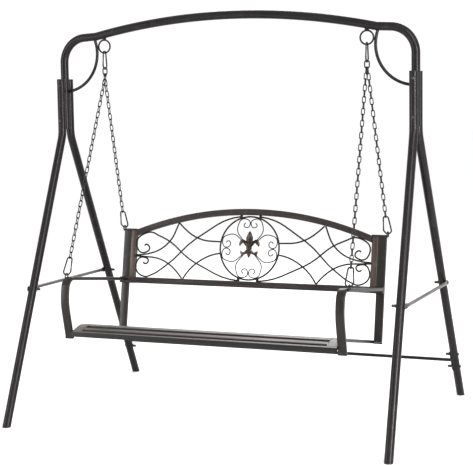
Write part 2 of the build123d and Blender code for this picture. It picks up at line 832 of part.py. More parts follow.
def eye_centres():
    """Centres of the right-hand front and rear eyes, on the bench's axes."""
    rise = eye_lift - eye_radius
    depth = post_front + side_depth / 2
    rear_y = back_foot_y + depth * math.cos(lean) + cap_top * math.sin(lean)
    rear_z = cap_top * math.cos(lean) - depth * math.sin(lean)
    return {"front": (eye_x, front_eye_y, arm_top(front_eye_y) + rise), "rear": (eye_x, rear_y, rear_z + rise)}


def side_eye(end):
    """A right-hand eye: a ring that stands beside the arm or the post's cap."""
    plane = Plane(origin=eye_centres()[end], x_dir=(0, 1, 0), z_dir=(1, 0, 0))
    ring = (RegularPolygon(eye_radius + eye_wire / 2, eye_flat_count)
            - RegularPolygon(eye_radius - eye_wire / 2, eye_flat_count, major_radius=False))
    return plate(plane, ring, eye_wire)


def chain_run(side, end):
    """Start, direction, sideways and edgewise directions, link count and pitch of one chain."""
    lane = chain_lane if end == "rear" else -chain_lane
    start = Vector(side * (ring_x + lane), pivot_y, oval_bottom)
    x, y, z = eye_centres()[end]
    to_eye = hung_point(side * x, y, z) - start
    along = to_eye.normalized()
    sideways = (Vector(1, 0, 0) - along * along.X).normalized()
    edgewise = along.cross(sideways)
    reach = to_eye.length - eye_radius + eye_wire / 2 + eye_play - hook_inner
    wire_reach = oval_wire / 2 * (abs(along.Y) + abs(along.Z))
    total = reach + wire_reach + link_fit
    count = 2 * round((total / chain_pitch - 1) / 2) + 1
    return start, along, sideways, edgewise, count, total / count, wire_reach


def chain_link(pitch):
    """A link: an oblong plate with an open middle."""
    length = pitch + link_fit
    outer = Rectangle(chain_width, length + 2 * chain_wire)
    return plate(Plane.XY, outer - Rectangle(chain_width - 2 * chain_wire, length), chain_wire)


def chain(side, end):
    """One chain: links a quarter turn apart, from the oval link down to the lower hook."""
    start, along, sideways, edgewise, count, pitch, wire_reach = chain_run(side, end)
    link = chain_link(pitch)
    first = (pitch + link_fit) / 2 - wire_reach - link_fit
    links = []
    for index in range(count):
        across, normal = (edgewise, sideways) if index % 2 == 0 else (sideways, edgewise)
        plane = Plane(origin=start + along * (first + index * pitch), x_dir=across, z_dir=normal)
        links.append(in_plane(plane, link))
    return solids_of(links)


def lower_hook_plane(side, end):
    """The lower hook follows its chain, gate to the right in front and to the left at the rear."""
    start, along, sideways, edgewise, count, pitch, wire_reach = chain_run(side, end)
    inner_top = count * pitch - wire_reach - link_fit
    across = sideways if end == "rear" else -sideways
    return Plane(origin=start + along * (inner_top - hook_wire / 2), x_dir=across, z_dir=across.cross(-along))


# Bench side frames


def flat_section(width, depth):
    """The section of a flat tube."""
    return Rectangle(width, depth) - Rectangle(width - 2 * side_wall, depth - 2 * side_wall)


def side_points(start_rise):
    """The side frame's middle line: up the bowed front post and back along the arm."""
    toward = math.dist((post_foot_y, 0), (post_bulge_y, post_bulge_z))
    share = start_rise / toward
    start = (side_centre, post_foot_y + (post_bulge_y - post_foot_y) * share, post_bulge_z * share)
    end = (side_centre, low_rail_front_y - fit, arm_rear_z)
    return start, (side_centre, post_bulge_y, post_bulge_z), (side_centre, arm_front_y, arm_front_z), end


def side_frame():
    """The right-hand front post and arm, bent from one flat tube."""
    return bent(flat_section(side_width, side_depth), side_points(end_cap), [post_bulge_radius, arm_bend_radius])


def front_end_cap():
    """The plastic cap under the front post."""
    foot, above = [Vector(*point) for point in side_points(0)[:2]]
    base = Plane(origin=foot, x_dir=(1, 0, 0), z_dir=above - foot)
    return extrude(base * Rectangle(side_width, side_depth), end_cap - fit)


# Bench back: x across, y up the lean, z towards the front


def back_plane(depth):
    """Plane of the back at a depth behind its reference, facing the front."""
    return Plane(origin=(0, back_foot_y + depth * math.cos(lean), -depth * math.sin(lean)),
                 x_dir=(1, 0, 0), z_dir=(0, -math.cos(lean), math.sin(lean)))


def back_box(x_low, x_high, depth_low, depth_high, low, high):
    """A box on the back's axes."""
    return in_plane(back_plane(0), box_between((x_low, low, -depth_high), (x_high, high, -depth_low)))


def box_tube(width_span, depth_span, height_span, wall, open_axis):
    """A box tube on the back's axes, open at both ends of one axis."""
    spans = [width_span, depth_span, height_span]
    bore = [(low + wall, high - wall) if axis != open_axis else (low - wall, high + wall)
            for axis, (low, high) in enumerate(spans)]
    outer = back_box(*width_span, *depth_span, *height_span)
    return outer - back_box(*bore[0], *bore[1], *bore[2])


end_post_outer = side_inner - fit
end_post_inner = end_post_outer - end_post_width
post_rear = post_front + side_depth


def rear_post():
    """The right-hand rear post of the bench."""
    return box_tube((side_inner, side_outer), (post_front, post_rear), (post_bottom, post_top), back_wall, 2)


def end_post():
    """The right-hand end post, beside the rear post."""
    return box_tube((end_post_inner, end_post_outer), (post_front, post_front + rail_depth),
                    (end_post_bottom, post_top), back_wall, 2)


def rear_end_cap():
    return back_box(side_inner, side_outer, post_front, post_rear, 0, post_bottom - fit)


def post_cap():
    """The cap plate over the rear post and the end post."""
    middle = post_front + side_depth / 2
    return back_box(end_post_inner, side_outer, middle - cap_plate_depth / 2, middle + cap_plate_depth / 2,
                    post_top + fit, cap_top)


def low_rail():
    """The straight rail across the front of the posts."""
    depths = (post_front - fit - rail_depth, post_front - fit)
    heights = (low_rail_centre - low_rail_height / 2, low_rail_centre + low_rail_height / 2)
    return box_tube((-low_rail_half_width, low_rail_half_width), depths, heights, back_wall, 0)


top_rail_radius = (top_rail_reach ** 2 + top_rail_rise ** 2) / (2 * top_rail_rise)
top_rail_centre = top_rail_apex - top_rail_radius


def rail_band(shrink):
    """The arched rail's face, from end post to end post, drawn in from its edges by a wall."""
    outer = top_rail_radius - shrink
    inner = top_rail_radius - top_rail_height + shrink
    reach = end_post_inner - fit
    ring = Pos(0, top_rail_centre) * (Circle(outer) - Circle(inner))
    return ring & (Pos(0, top_rail_apex) * Rectangle(2 * reach, top_rail_apex))


def top_rail():
    """The arched top rail between the end posts."""
    rear = top_rail_front + rail_depth
    body = extrude(back_plane(rear) * rail_band(0), rail_depth)
    return body - extrude(back_plane(rear - back_wall) * rail_band(back_wall), rail_depth - 2 * back_wall)


# Scrollwork, in two layers that pass each other

panel_bottom = low_rail_centre + low_rail_height / 2
panel_top = top_rail_apex - top_rail_height
panel_centre = (panel_bottom + panel_top) / 2
panel_half_height = (panel_top - panel_bottom) / 2
panel_half_width = end_post_inner
ring_outer = panel_half_height - ring_rail_gap
ring_inner = ring_outer - ring_bar
front_layer = post_front - fit - scroll_wire / 2
rear_layer = front_layer + scroll_wire + fit
ring_depth = (front_layer + rear_layer) / 2
wire_stand = scroll_wire / 2 + fit


def panel_point(shares):
    return (panel_half_width * shares[0], panel_centre + panel_half_height * shares[1])


def rail_underside(x):
    return top_rail_centre + math.sqrt((top_rail_radius - top_rail_height) ** 2 - x * x)


def wire(line, depth):
    return plate(back_plane(depth), flat_bar(line, scroll_wire), scroll_wire)


def upper_scroll():
    """The right-hand scroll that curls under the top rail and runs down to the ring's foot."""
    points = [panel_point(shares) for shares in upper_scroll_shares]
    points.append((pad_centre + pad_width / 2 + 3 * fit, panel_bottom + wire_stand + fit))
    return wire(smooth_line(points, upper_scroll_angle, upper_scroll_end_angle, scroll_facet_angle), front_layer)


def lower_scroll():
    """The right-hand scroll that curls over the low rail and runs up to the ring's crown."""
    points = [panel_point(shares) for shares in lower_scroll_shares]
    end_height = panel_centre + panel_half_height * scroll_end_share - wire_stand
    points.append((pad_centre + pad_width / 2 + 3 * fit, end_height))
    return wire(smooth_line(points, lower_scroll_angle, lower_scroll_end_angle, scroll_facet_angle), rear_layer)


def ring_edge(height_share):
    """A wire's start on the ring's outer side."""
    rise = panel_half_height * height_share
    reach = ring_outer / math.cos(math.pi / centre_ring_flat_count) + wire_stand
    return math.sqrt(reach ** 2 - rise ** 2), panel_centre + rise


def panel_arcs():
    """The right-hand arcs between the ring, the rails and the end post, in the two layers."""
    low = panel_bottom + wire_stand
    upper_x, lower_x = (panel_half_width * share for share in rail_contact_shares)
    tall = rail_underside(upper_x) - wire_stand
    post_x = panel_half_width - fit
    upper_tip = (post_x, panel_centre + panel_half_height * post_side_shares[0])
    lower_tip = (post_x + scroll_wire, panel_centre + panel_half_height * post_side_shares[1])
    runs = (
        ((upper_tip, panel_point(outer_arc_shares), (upper_x + wire_stand, tall - fit)), 180, 112, rear_layer),
        ((lower_tip, panel_point(outer_low_arc_shares), (lower_x + wire_stand, low)), 180, 232, front_layer),
        ((ring_edge(ring_side_shares[0]), panel_point(inner_arc_shares), (upper_x - wire_stand, tall)), 0, 45,
         front_layer),
        ((ring_edge(ring_side_shares[1]), panel_point(inner_low_arc_shares), (lower_x - wire_stand, low)), -8, -60,
         rear_layer))
    return solids_of(wire(smooth_line(points, go, arrive, scroll_facet_angle), depth) for points, go, arrive, depth in runs)


def centre_ring():
    """The centre ring, with the four small pads that hold it to the rails."""
    ring = flats(2 * ring_outer, centre_ring_flat_count) - flats(2 * ring_inner, centre_ring_flat_count)
    body = plate(back_plane(ring_depth), Pos(0, panel_centre) * ring, ring_bar)
    disc = plate(back_plane(ring_depth), Pos(0, panel_centre) * Circle(ring_outer - ring_bar / 2), 2 * ring_bar)
    for x in (-pad_centre, pad_centre):
        top = rail_underside(abs(x) + pad_width / 2) - fit
        post = back_box(x - pad_width / 2, x + pad_width / 2, ring_depth - pad_depth / 2, ring_depth + pad_depth / 2,
                        panel_bottom + fit, top)
        body += solids_of([post - disc])
    return body


def heart_half():
    """One half of the upper heart, on the ring's own axes."""
    points = [(ring_inner * x, ring_inner * y) for x, y in heart_shares]
    line = smooth_line(points, heart_angle, heart_end_angle, heart_facet_angle)
    return plate(Plane.XY, flat_bar(line, heart_wire), heart_wire)


def heart_scrolls():
    """Four hearts round the ring's centre, each of two scrolls."""
    half = heart_half()
    both = [half, mirror(half, about=Plane.YZ)]
    spots = [Rot(0, 0, turn) * piece for turn in (0, 90, 180, 270) for piece in both]
    plane = back_plane(ring_depth)
    centre = Plane(origin=plane.origin + plane.y_dir * panel_centre, x_dir=plane.x_dir, z_dir=plane.z_dir)
    return solids_of(in_plane(centre, piece) for piece in spots)


def mirrored_outline(shares, size):
    right = [(x * size, y * size) for x, y in shares]
    left = [(-x, y) for x, y in reversed(right) if x > 0]
    return make_face(Polyline(*right, *left, close=True))


def ornament():
    """The cast flower of lily form at the ring's centre, in front of the hearts' ends."""
    rear = ring_depth - heart_wire / 2 - fit
    plane = back_plane(rear)
    centre = Plane(origin=plane.origin + plane.y_dir * (panel_centre + ornament_rise), x_dir=plane.x_dir,
                   z_dir=plane.z_dir)
    body = extrude(mirrored_outline(ornament_shares, ornament_height), ornament_thickness)
    bud = extrude(mirrored_outline(bud_shares, ornament_height), ornament_thickness + ornament_relief)
    half_width, half_height = (share * ornament_height for share in band_shares)
    band = box_between((-half_width, -half_height, 0), (half_width, half_height, ornament_thickness + ornament_relief))
    drop = (ornament_shares[12][1] + ornament_shares[14][1]) * ornament_height / 2
    return in_plane(centre, body + bud + Pos(0, drop) * band)


# Seat


def seat_line(drop):
    """The seat's line in the Y-Z plane, at a drop below its top, as its corners."""
    points = [Vector(0, seat_front_y, seat_front_z), Vector(0, seat_crest_y, seat_crest_z),
              Vector(0, seat_rear_y, seat_rear_z)]
    rise = (points[1] - points[0]).normalized()
    fall = (points[2] - points[1]).normalized()
    under_rise = Vector(0, rise.Z, -rise.Y)
    under_fall = Vector(0, fall.Z, -fall.Y)
    corner = (under_rise + under_fall) / (1 + under_rise.dot(under_fall))
    return [points[0] + under_rise * drop, points[1] + corner * drop, points[2] + under_fall * drop]


def seat_slice(x_span, y_span, drop_span):
    """A piece of the seat's band, between two depths below the top and cut upright front and rear."""
    drop = (drop_span[0] + drop_span[1]) / 2
    shift = Vector((x_span[0] + x_span[1]) / 2, 0, 0)
    section = Rectangle(x_span[1] - x_span[0], drop_span[1] - drop_span[0])
    band = bent(section, [point + shift for point in seat_line(drop)], [seat_crest_radius - drop])
    reach = seat_rear_y - seat_front_y
    return band & box_between((x_span[0] - reach, y_span[0], -reach), (x_span[1] + reach, y_span[1], reach))


def seat_tube(x_span, y_span, drop_span, wall, foot):
    """A hollow slice of the seat's band, open at its ends across X, with a foot or none under its hollow."""
    outer = seat_slice(x_span, y_span, drop_span)
    bore = seat_slice((x_span[0] - wall, x_span[1] + wall), (y_span[0] + wall, y_span[1] - wall),
                      (drop_span[0] + wall, drop_span[1] - foot))
    return outer - bore


seat_rail_outer = side_inner - fit
seat_rail_inner = seat_rail_outer - seat_rail_width
seat_half_width = seat_rail_inner - fit


def seat_side_rail():
    """The right-hand side band of the seat, bent from flat tube."""
    x = (seat_rail_inner + seat_rail_outer) / 2
    points = [point + Vector(x, 0, 0) for point in seat_line(seat_band / 2)]
    return bent(flat_section(seat_rail_width, seat_band), points, [seat_crest_radius - seat_band / 2])


def front_rail():
    """The rail under the seat's front edge."""
    span = (seat_front_y + fit, seat_front_y + front_rail_depth)
    return seat_tube((-seat_half_width, seat_half_width), span, (0, front_rail_height), seat_wall, seat_wall)


def rear_rail_of_seat():
    span = (seat_rear_y - rear_rail_depth, seat_rear_y - fit)
    return seat_tube((-seat_half_width, seat_half_width), span, (0, seat_band), seat_wall, seat_wall)


def seat_slats():
    """The lip slat and the row of seat slats: folded channels, open below, flush with the side rails."""
    spans = [(lip_slat_start, lip_slat_start + lip_slat_width)]
    for index in range(slat_count):
        start = slat_start + index * (slat_width + slat_gap)
        spans.append((start, start + slat_width))
    return solids_of(seat_tube((-seat_half_width, seat_half_width), span, (0, slat_thickness), slat_wall, -slat_wall)
                     for span in spans)


def seat_bearer():
    """The right-hand bearer under the slats, from the front rail to the rear rail."""
    top = slat_thickness + fit
    span = (seat_front_y + front_rail_depth + fit, seat_rear_y - rear_rail_depth - fit)
    x_span = (bearer_centre - bearer_width / 2, bearer_centre + bearer_width / 2)
    outer = seat_slice(x_span, span, (top, top + bearer_depth))
    inner_x = (x_span[0] + seat_wall, x_span[1] - seat_wall)
    longer = (span[0] - seat_wall, span[1] + seat_wall)
    return outer - seat_slice(inner_x, longer, (top + seat_wall, top + bearer_depth - seat_wall))


def node_shapes():
    """Every node's name and shape, each solid in its own place."""
    nodes = {"top_frame": top_frame(), "rear_rail": rear_rail(), "tube_caps": tube_caps(),
             "leg_bolts": leg_bolts(), "brace_bolts": brace_bolts(), "rail_bolts": rail_bolts()}
    pads = []
    for end, sign, reach in (("front", -1, front_foot_reach), ("rear", 1, rear_foot_reach)):
        for side, shape in pair(leg(sign, reach)).items():
            nodes[f"leg_{end}_{side}"] = shape
        pads += pair(foot_pad_and_plug(sign, reach)).values()
    nodes["foot_pads"] = solids_of(pads)
    for side, shape in pair(side_brace()).items():
        nodes[f"side_brace_{side}"] = shape
    nodes["rail_brackets"] = solids_of(pair(rail_bracket()).values())
    nodes["curved_braces"] = solids_of(pair(curved_brace()).values())
    nodes["hanger_rings"] = solids_of(pair(hanger_ring()).values())
    for side, sign in (("right", 1), ("left", -1)):
        nodes[f"top_hook_{side}"] = hook_body(top_hook_plane(sign))
        nodes[f"top_gate_{side}"] = hook_gate(top_hook_plane(sign))
        for end in ("front", "rear"):
            nodes[f"chain_{end}_{side}"] = chain(sign, end)
            nodes[f"hook_{end}_{side}"] = hook_body(lower_hook_plane(sign, end))
            nodes[f"gate_{end}_{side}"] = hook_gate(lower_hook_plane(sign, end))
    nodes["oval_links"] = solids_of([oval_link(1), oval_link(-1)])
    nodes.update(bench_nodes())
    return nodes


def bench_nodes():
    """The bench's nodes, drawn on its own axes and hung in place."""
    shapes = {"top_rail": top_rail(), "low_rail": low_rail(), "centre_ring": centre_ring(),
              "heart_scrolls": heart_scrolls(), "ornament": ornament(), "front_rail": front_rail(),
              "seat_rear_rail": rear_rail_of_seat(), "seat_slats": seat_slats()}
    singles = {"side_frame": side_frame, "rear_post": rear_post, "end_post": end_post,
               "panel_arcs": panel_arcs, "seat_rail": seat_side_rail}
    for name, maker in singles.items():
        for side, shape in pair(maker()).items():
            shapes[f"{name}_{side}"] = solids_of([shape]) if name == "panel_arcs" else shape
    for side, shape in pair(upper_scroll()).items():
        shapes[f"upper_scroll_{side}"] = shape
    for side, shape in pair(lower_scroll()).items():
        shapes[f"lower_scroll_{side}"] = shape
    groups = {"seat_bearers": [seat_bearer()], "post_caps": [post_cap()],
              "end_caps": [front_end_cap(), rear_end_cap()],
              "front_eyes": [side_eye("front")], "rear_eyes": [side_eye("rear")]}
    for name, pieces in groups.items():
        shapes[name] = solids_of(shape for piece in pieces for shape in pair(piece).values())
    return {name: hang * shape for name, shape in shapes.items()}


for name, shape in node_shapes().items():
    export_step(shape, f"parts/{name}.step")
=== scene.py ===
import math
import bmesh
import bpy
import numpy as np
from mathutils import Matrix, Vector


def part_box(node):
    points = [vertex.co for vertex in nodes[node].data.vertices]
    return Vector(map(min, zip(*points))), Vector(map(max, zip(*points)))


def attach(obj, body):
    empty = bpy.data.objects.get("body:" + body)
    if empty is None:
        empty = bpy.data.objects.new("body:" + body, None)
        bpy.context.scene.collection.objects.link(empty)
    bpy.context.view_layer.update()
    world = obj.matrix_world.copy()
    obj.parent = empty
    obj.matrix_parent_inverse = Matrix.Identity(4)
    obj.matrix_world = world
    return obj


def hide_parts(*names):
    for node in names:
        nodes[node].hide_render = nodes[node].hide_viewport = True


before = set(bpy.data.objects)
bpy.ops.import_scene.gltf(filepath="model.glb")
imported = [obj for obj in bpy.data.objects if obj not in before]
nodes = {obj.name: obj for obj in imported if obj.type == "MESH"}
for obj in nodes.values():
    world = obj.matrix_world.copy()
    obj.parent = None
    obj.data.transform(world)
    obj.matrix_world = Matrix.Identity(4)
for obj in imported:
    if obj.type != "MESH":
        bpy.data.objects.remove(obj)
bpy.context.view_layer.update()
MM = 0.001
ACROSS, DEEP, UP = (1, 0, 0), (0, 1, 0), (0, 0, 1)
SIDES = (("right", 1), ("left", -1))

# Sizes in millimetres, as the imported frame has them
PIVOT_Y, PIVOT_Z = -86.447, 1671.75
TUBE, FIT = 38.0, 0.3
LEG_TOP_X, FOOT_X, BEND_Z, LEG_TOP_Z = 852.7, 884.0, 1291.0, 1550.0
FRONT_REACH, REAR_REACH, LEG_GAP = 554.4, 727.3, 38.3
KINK_X, KINK_Z, ARCH_RISE, CORNER_SLOPE = 680.0, 1748.5, 74.0, math.radians(3.0)
CORNER_END_Z = BEND_Z + 31
RING_Z, RING_R, RING_WIRE = 1701.5, 29.75, 8.0
CURVE_R, CURVE_Z, CURVE_TUBE = 177.0, 1672.0, 13.0
BRACE_Z, RAIL_Z = 593.0, 189.0
TILT, REACH, HEIGHT = math.radians(5.1), 365.1, 387.0
LEAN, BACK_Y = math.radians(5.4), 495.0
SIDE_X, SIDE_W, SIDE_D = 643.0, 38.0, 15.0
ring_reach = CURVE_R + CURVE_TUBE / 2 + FIT + RING_R + RING_WIRE / 2
ring_x = LEG_TOP_X - math.sqrt(ring_reach ** 2 - (RING_Z - CURVE_Z) ** 2)
arch_r = (KINK_X ** 2 + ARCH_RISE ** 2) / (2 * ARCH_RISE)
arch_z = KINK_Z + ARCH_RISE - arch_r
arch_end = math.asin(KINK_X / arch_r)


# Mesh makers


def mesh_object(name, verts, faces, uvs=None, sharp=40, smooth=True):
    """A mesh in metres from millimetre points, smooth but for edges sharper than an angle."""
    mesh = bpy.data.meshes.new(name)
    mesh.from_pydata([tuple(c * MM for c in v) for v in verts], [], faces)
    if uvs:
        layer = mesh.uv_layers.new(name="lay")
        for loop in mesh.loops:
            layer.data[loop.index].uv = uvs[loop.vertex_index]
    mesh.validate()
    bm = bmesh.new()
    bm.from_mesh(mesh)
    bmesh.ops.recalc_face_normals(bm, faces=bm.faces)
    bm.to_mesh(mesh)
    bm.free()
    if smooth:
        mesh.shade_smooth()
        mesh.set_sharp_from_angle(angle=math.radians(sharp))
    obj = bpy.data.objects.new(name, mesh)
    bpy.context.scene.collection.objects.link(obj)
    return obj


def full_turn(count):
    """The cosine and sine of each step of a full turn."""
    steps = [2 * math.pi * k / count for k in range(count)]
    return [(math.cos(a), math.sin(a)) for a in steps]


def round_section(diameter, count=20):
    return [(diameter / 2 * c, diameter / 2 * s) for c, s in full_turn(count)]


def super_round(width, height, square, count=24):
    """A section between a round (square 1) and a flat oblong (square 0.4)."""
    return [(width / 2 * math.copysign(abs(c) ** square, c),
             height / 2 * math.copysign(abs(s) ** square, s)) for c, s in full_turn(count)]


def oblong_section(width, depth, corner, steps=4):
    """A rectangle's outline with rounded corners."""
    points = []
    for cx, cy, start in ((1, 1, 0), (-1, 1, 90), (-1, -1, 180), (1, -1, 270)):
        for i in range(steps + 1):
            a = math.radians(start + 90 * i / steps)
            points.append((cx * (width / 2 - corner) + corner * math.cos(a),
                           cy * (depth / 2 - corner) + corner * math.sin(a)))
    return points


def sweep_data(path, section, side, closed=False, planes=(None, None)):
    """Vertices, faces and lay (length along, length around) of a section carried on a path.
    planes are the (spot, normal) that cut its two ends."""
    path = [Vector(p) for p in path]
    side = Vector(side)
    sections = section if isinstance(section[0], list) else [section] * len(path)
    count, n = len(path), len(sections[0])
    verts, uvs, run = [], [], 0.0
    for i, here in enumerate(path):
        before = path[i - 1] if i > 0 or closed else here
        after = path[(i + 1) % count] if i < count - 1 or closed else here
        go = (after - before).normalized()
        across = (side - go * side.dot(go)).normalized()
        lift = go.cross(across)
        if i > 0:
            run += (here - path[i - 1]).length
        plane = planes[0] if i == 0 else planes[1] if i == count - 1 else None
        around = 0.0
        for k, (u, v) in enumerate(sections[i]):
            point = here + across * u + lift * v
            if plane:
                spot, normal = Vector(plane[0]), Vector(plane[1])
                point += go * ((spot - point).dot(normal) / go.dot(normal))
            if k:
                around += math.dist(sections[i][k - 1], (u, v))
            verts.append(point)
            uvs.append((run * MM, around * MM))
    faces = []
    for i in range(count if closed else count - 1):
        a, b = i * n, ((i + 1) % count) * n
        for k in range(n):
            m = (k + 1) % n
            faces.append((a + k, a + m, b + m, b + k))
    if not closed:
        faces += [tuple(range(n))[::-1], tuple((count - 1) * n + k for k in range(n))]
    return verts, faces, uvs


def join_data(parts):
    verts, faces, uvs = [], [], []
    for v, f, u in parts:
        base = len(verts)
        verts += v
        faces += [tuple(base + i for i in face) for face in f]
        uvs += u
    return verts, faces, uvs


def lathe_data(profile, spot, axis, sides=24, lap=0.03):
    """A profile of (radius, height) points turned round an axis; lap is the lay around it."""
    axis = Vector(axis).normalized()
    helper = Vector(UP) if abs(axis.z) < 0.9 else Vector(ACROSS)
    u = axis.cross(helper).normalized()
    v = axis.cross(u)
    verts, uvs, faces = [], [], []
    for radius, height in profile:
        for i in range(sides):
            turn = 2 * math.pi * (i + 0.5) / sides
            out = (u * math.cos(turn) + v * math.sin(turn)) * radius
            verts.append(Vector(spot) + axis * height + out)
            uvs.append((height * MM, i / sides * lap))
    last = len(profile) - 1
    for j in range(last):
        a, b = j * sides, (j + 1) * sides
        for i in range(sides):
            m = (i + 1) % sides
            faces.append((a + i, a + m, b + m, b + i))
    faces += [tuple(range(sides)), tuple(last * sides + i for i in range(sides))]
    return verts, faces, uvs


def ring_data(centre, u, v, radius, wire, count=48, sides=16):
    """A closed ring of round wire in the plane of u and v."""
    centre, u, v = Vector(centre), Vector(u), Vector(v)
    path = [centre + u * (radius * c) + v * (radius * s) for c, s in full_turn(count)]
    return sweep_data(path, round_section(wire, sides), u.cross(v), closed=True)


def rounded_path(points, radii, step=6.0):
    """A path through points in space, with each inner corner turned on a radius."""
    points = [Vector(p) for p in points]
    path = [points[0]]
    for before, here, after, radius in zip(points, points[1:], points[2:], radii):
        go, leave = (here - before).normalized(), (after - here).normalized()
        turn = go.angle(leave)
        start = here - go * (radius * math.tan(turn / 2))
        inward = (leave - go * go.dot(leave)).normalized()
        count = max(2, math.ceil(math.degrees(turn) / step))
        for k in range(count + 1):
            a = turn * k / count
            path.append(start + go * (radius * math.sin(a)) + inward * (radius * (1 - math.cos(a))))
    return path + [points[-1]]


def longer(path, most=60.0):
    """A path with points added on its long runs, so that the tone can change along it."""
    out = [path[0]]
    for a, b in zip(path, path[1:]):
        count = max(1, math.ceil((b - a).length / most))
        out += [a.lerp(b, k / count) for k in range(1, count + 1)]
    return out


def turned(heading):
    a = math.radians(heading)
    return math.cos(a), math.sin(a)


def bearing(a, b):
    return math.degrees(math.atan2(b[1] - a[1], b[0] - a[0]))


def arc_points(start, heading, end, step):
    """Points on the arc that leaves start on a heading and meets end, and its last heading."""
    chord = math.dist(start, end)
    half = (bearing(start, end) - heading + 180) % 360 - 180
    whole = math.sin(math.radians(half))
    count = max(1, math.ceil(abs(2 * half) / step))
    points = []
    for k in range(1, count + 1):
        share = k / count
        ratio = math.sin(math.radians(half * share)) / whole if abs(half) > 0.01 else share
        x, y = turned(heading + half * share)
        points.append((start[0] + chord * ratio * x, start[1] + chord * ratio * y))
    return points, heading + 2 * half


def smooth_line(points, first, last, step=7.0):
    """Points along two arcs between each pair of points, smooth all the way."""
    headings = [first]
    for before, here, after in zip(points, points[1:], points[2:]):
        arriving = bearing(before, here)
        turn = (bearing(here, after) - arriving + 180) % 360 - 180
        near, far = math.dist(before, here), math.dist(here, after)
        headings.append(arriving + turn * near / (near + far))
    headings.append(last)
    line = [points[0]]
    for a, b, go, arrive in zip(points, points[1:], headings, headings[1:]):
        t0, t1 = turned(go), turned(arrive)
        vx, vy = b[0] - a[0], b[1] - a[1]
        along = vx * (t0[0] + t1[0]) + vy * (t0[1] + t1[1])
        spread = 2 * (1 - t0[0] * t1[0] - t0[1] * t1[1])
        square = vx * vx + vy * vy
        reach = square / (2 * along) if spread < 1e-6 else (
            (math.sqrt(along * along + spread * square) - along) / spread)
        middle = ((a[0] + b[0] + reach * (t0[0] - t1[0])) / 2,
                  (a[1] + b[1] + reach * (t0[1] - t1[1])) / 2)
        part, turn = arc_points(a, go, middle, step)
        line += part + arc_points(middle, turn, b, step)[0]
    return line


# Looks


def group(name, inputs, outputs):
    """An empty shader node group with named sockets, and its input and output nodes."""
    tree = bpy.data.node_groups.new(name, "ShaderNodeTree")
    for way, sockets in (("INPUT", inputs), ("OUTPUT", outputs)):
        for label, kind in sockets:
            tree.interface.new_socket(name=label, in_out=way, socket_type="NodeSocket" + kind)
    return tree, tree.nodes.new("NodeGroupInput"), tree.nodes.new("NodeGroupOutput")


def fill(node, values):
    for key, value in values.items():
        node.inputs[key].default_value = value


def place(tree, kind, values=None, **settings):
    made = tree.nodes.new("ShaderNode" + kind)
    for key, value in settings.items():
        setattr(made, key, value)
    fill(made, values or {})
    return made


def brushed_streaks():
    """Long soft streaks of a brushed coat: a tone from 0 to 1 that runs along the lay."""
    inputs = (("Lay", "Vector"), ("Length", "Float"), ("Fineness", "Float"))
    tree, start, end = group("brushed_streaks", inputs, (("Tone", "Float"),))
    link = tree.links.new
    parts = place(tree, "SeparateXYZ")
    link(start.outputs["Lay"], parts.inputs[0])
    scaled = place(tree, "CombineXYZ")
    for axis, size in (("X", "Length"), ("Y", "Fineness"), ("Z", "Fineness")):
        times = place(tree, "Math", operation="MULTIPLY")
        link(parts.outputs[axis], times.inputs[0])
        link(start.outputs[size], times.inputs[1])
        link(times.outputs[0], scaled.inputs[axis])
    noise = place(tree, "TexNoise", {"Scale": 1, "Detail": 4, "Roughness": 0.6, "Distortion": 0.2})
    link(scaled.outputs[0], noise.inputs["Vector"])
    spread = place(tree, "MapRange", {"From Min": 0.32, "From Max": 0.68})
    link(noise.outputs["Fac"], spread.inputs["Value"])
    link(spread.outputs[0], end.inputs["Tone"])
    return tree


def coat_grain():
    """The fine orange peel and slow waviness of a powder coat as a height, and its rubbed spots."""
    inputs = (("Place", "Vector"), ("Peel", "Float"), ("Rub", "Float"))
    tree, start, end = group("coat_grain", inputs, (("Height", "Float"), ("Rubbed", "Float")))
    link = tree.links.new
    fine = place(tree, "TexNoise", {"Detail": 2.0, "Roughness": 0.5})
    link(start.outputs["Peel"], fine.inputs["Scale"])
    slow = place(tree, "TexNoise", {"Scale": 34.0, "Detail": 3.0})
    speck = place(tree, "TexNoise", {"Scale": 420.0, "Detail": 5.0, "Roughness": 0.7})
    for noise in (fine, slow, speck):
        link(start.outputs["Place"], noise.inputs["Vector"])
    mixed = place(tree, "Math", {1: 0.35}, operation="MULTIPLY_ADD")
    link(slow.outputs["Fac"], mixed.inputs[0])
    link(fine.outputs["Fac"], mixed.inputs[2])
    link(mixed.outputs[0], end.inputs["Height"])
    both = place(tree, "Math", operation="MULTIPLY")
    link(slow.outputs["Fac"], both.inputs[0])
    link(speck.outputs["Fac"], both.inputs[1])
    high = place(tree, "Math", {1: 0.12}, operation="ADD")
    link(start.outputs["Rub"], high.inputs[0])
    spread = place(tree, "MapRange")
    link(both.outputs[0], spread.inputs["Value"])
    for source, limit in ((start.outputs["Rub"], "From Min"), (high.outputs[0], "From Max")):
        half = place(tree, "Math", {1: 0.5}, operation="MULTIPLY")
        link(source, half.inputs[0])
        link(half.outputs[0], spread.inputs[limit])
    link(spread.outputs[0], end.inputs["Rubbed"])
    return tree


STREAKS = brushed_streaks()
GRAIN = coat_grain()


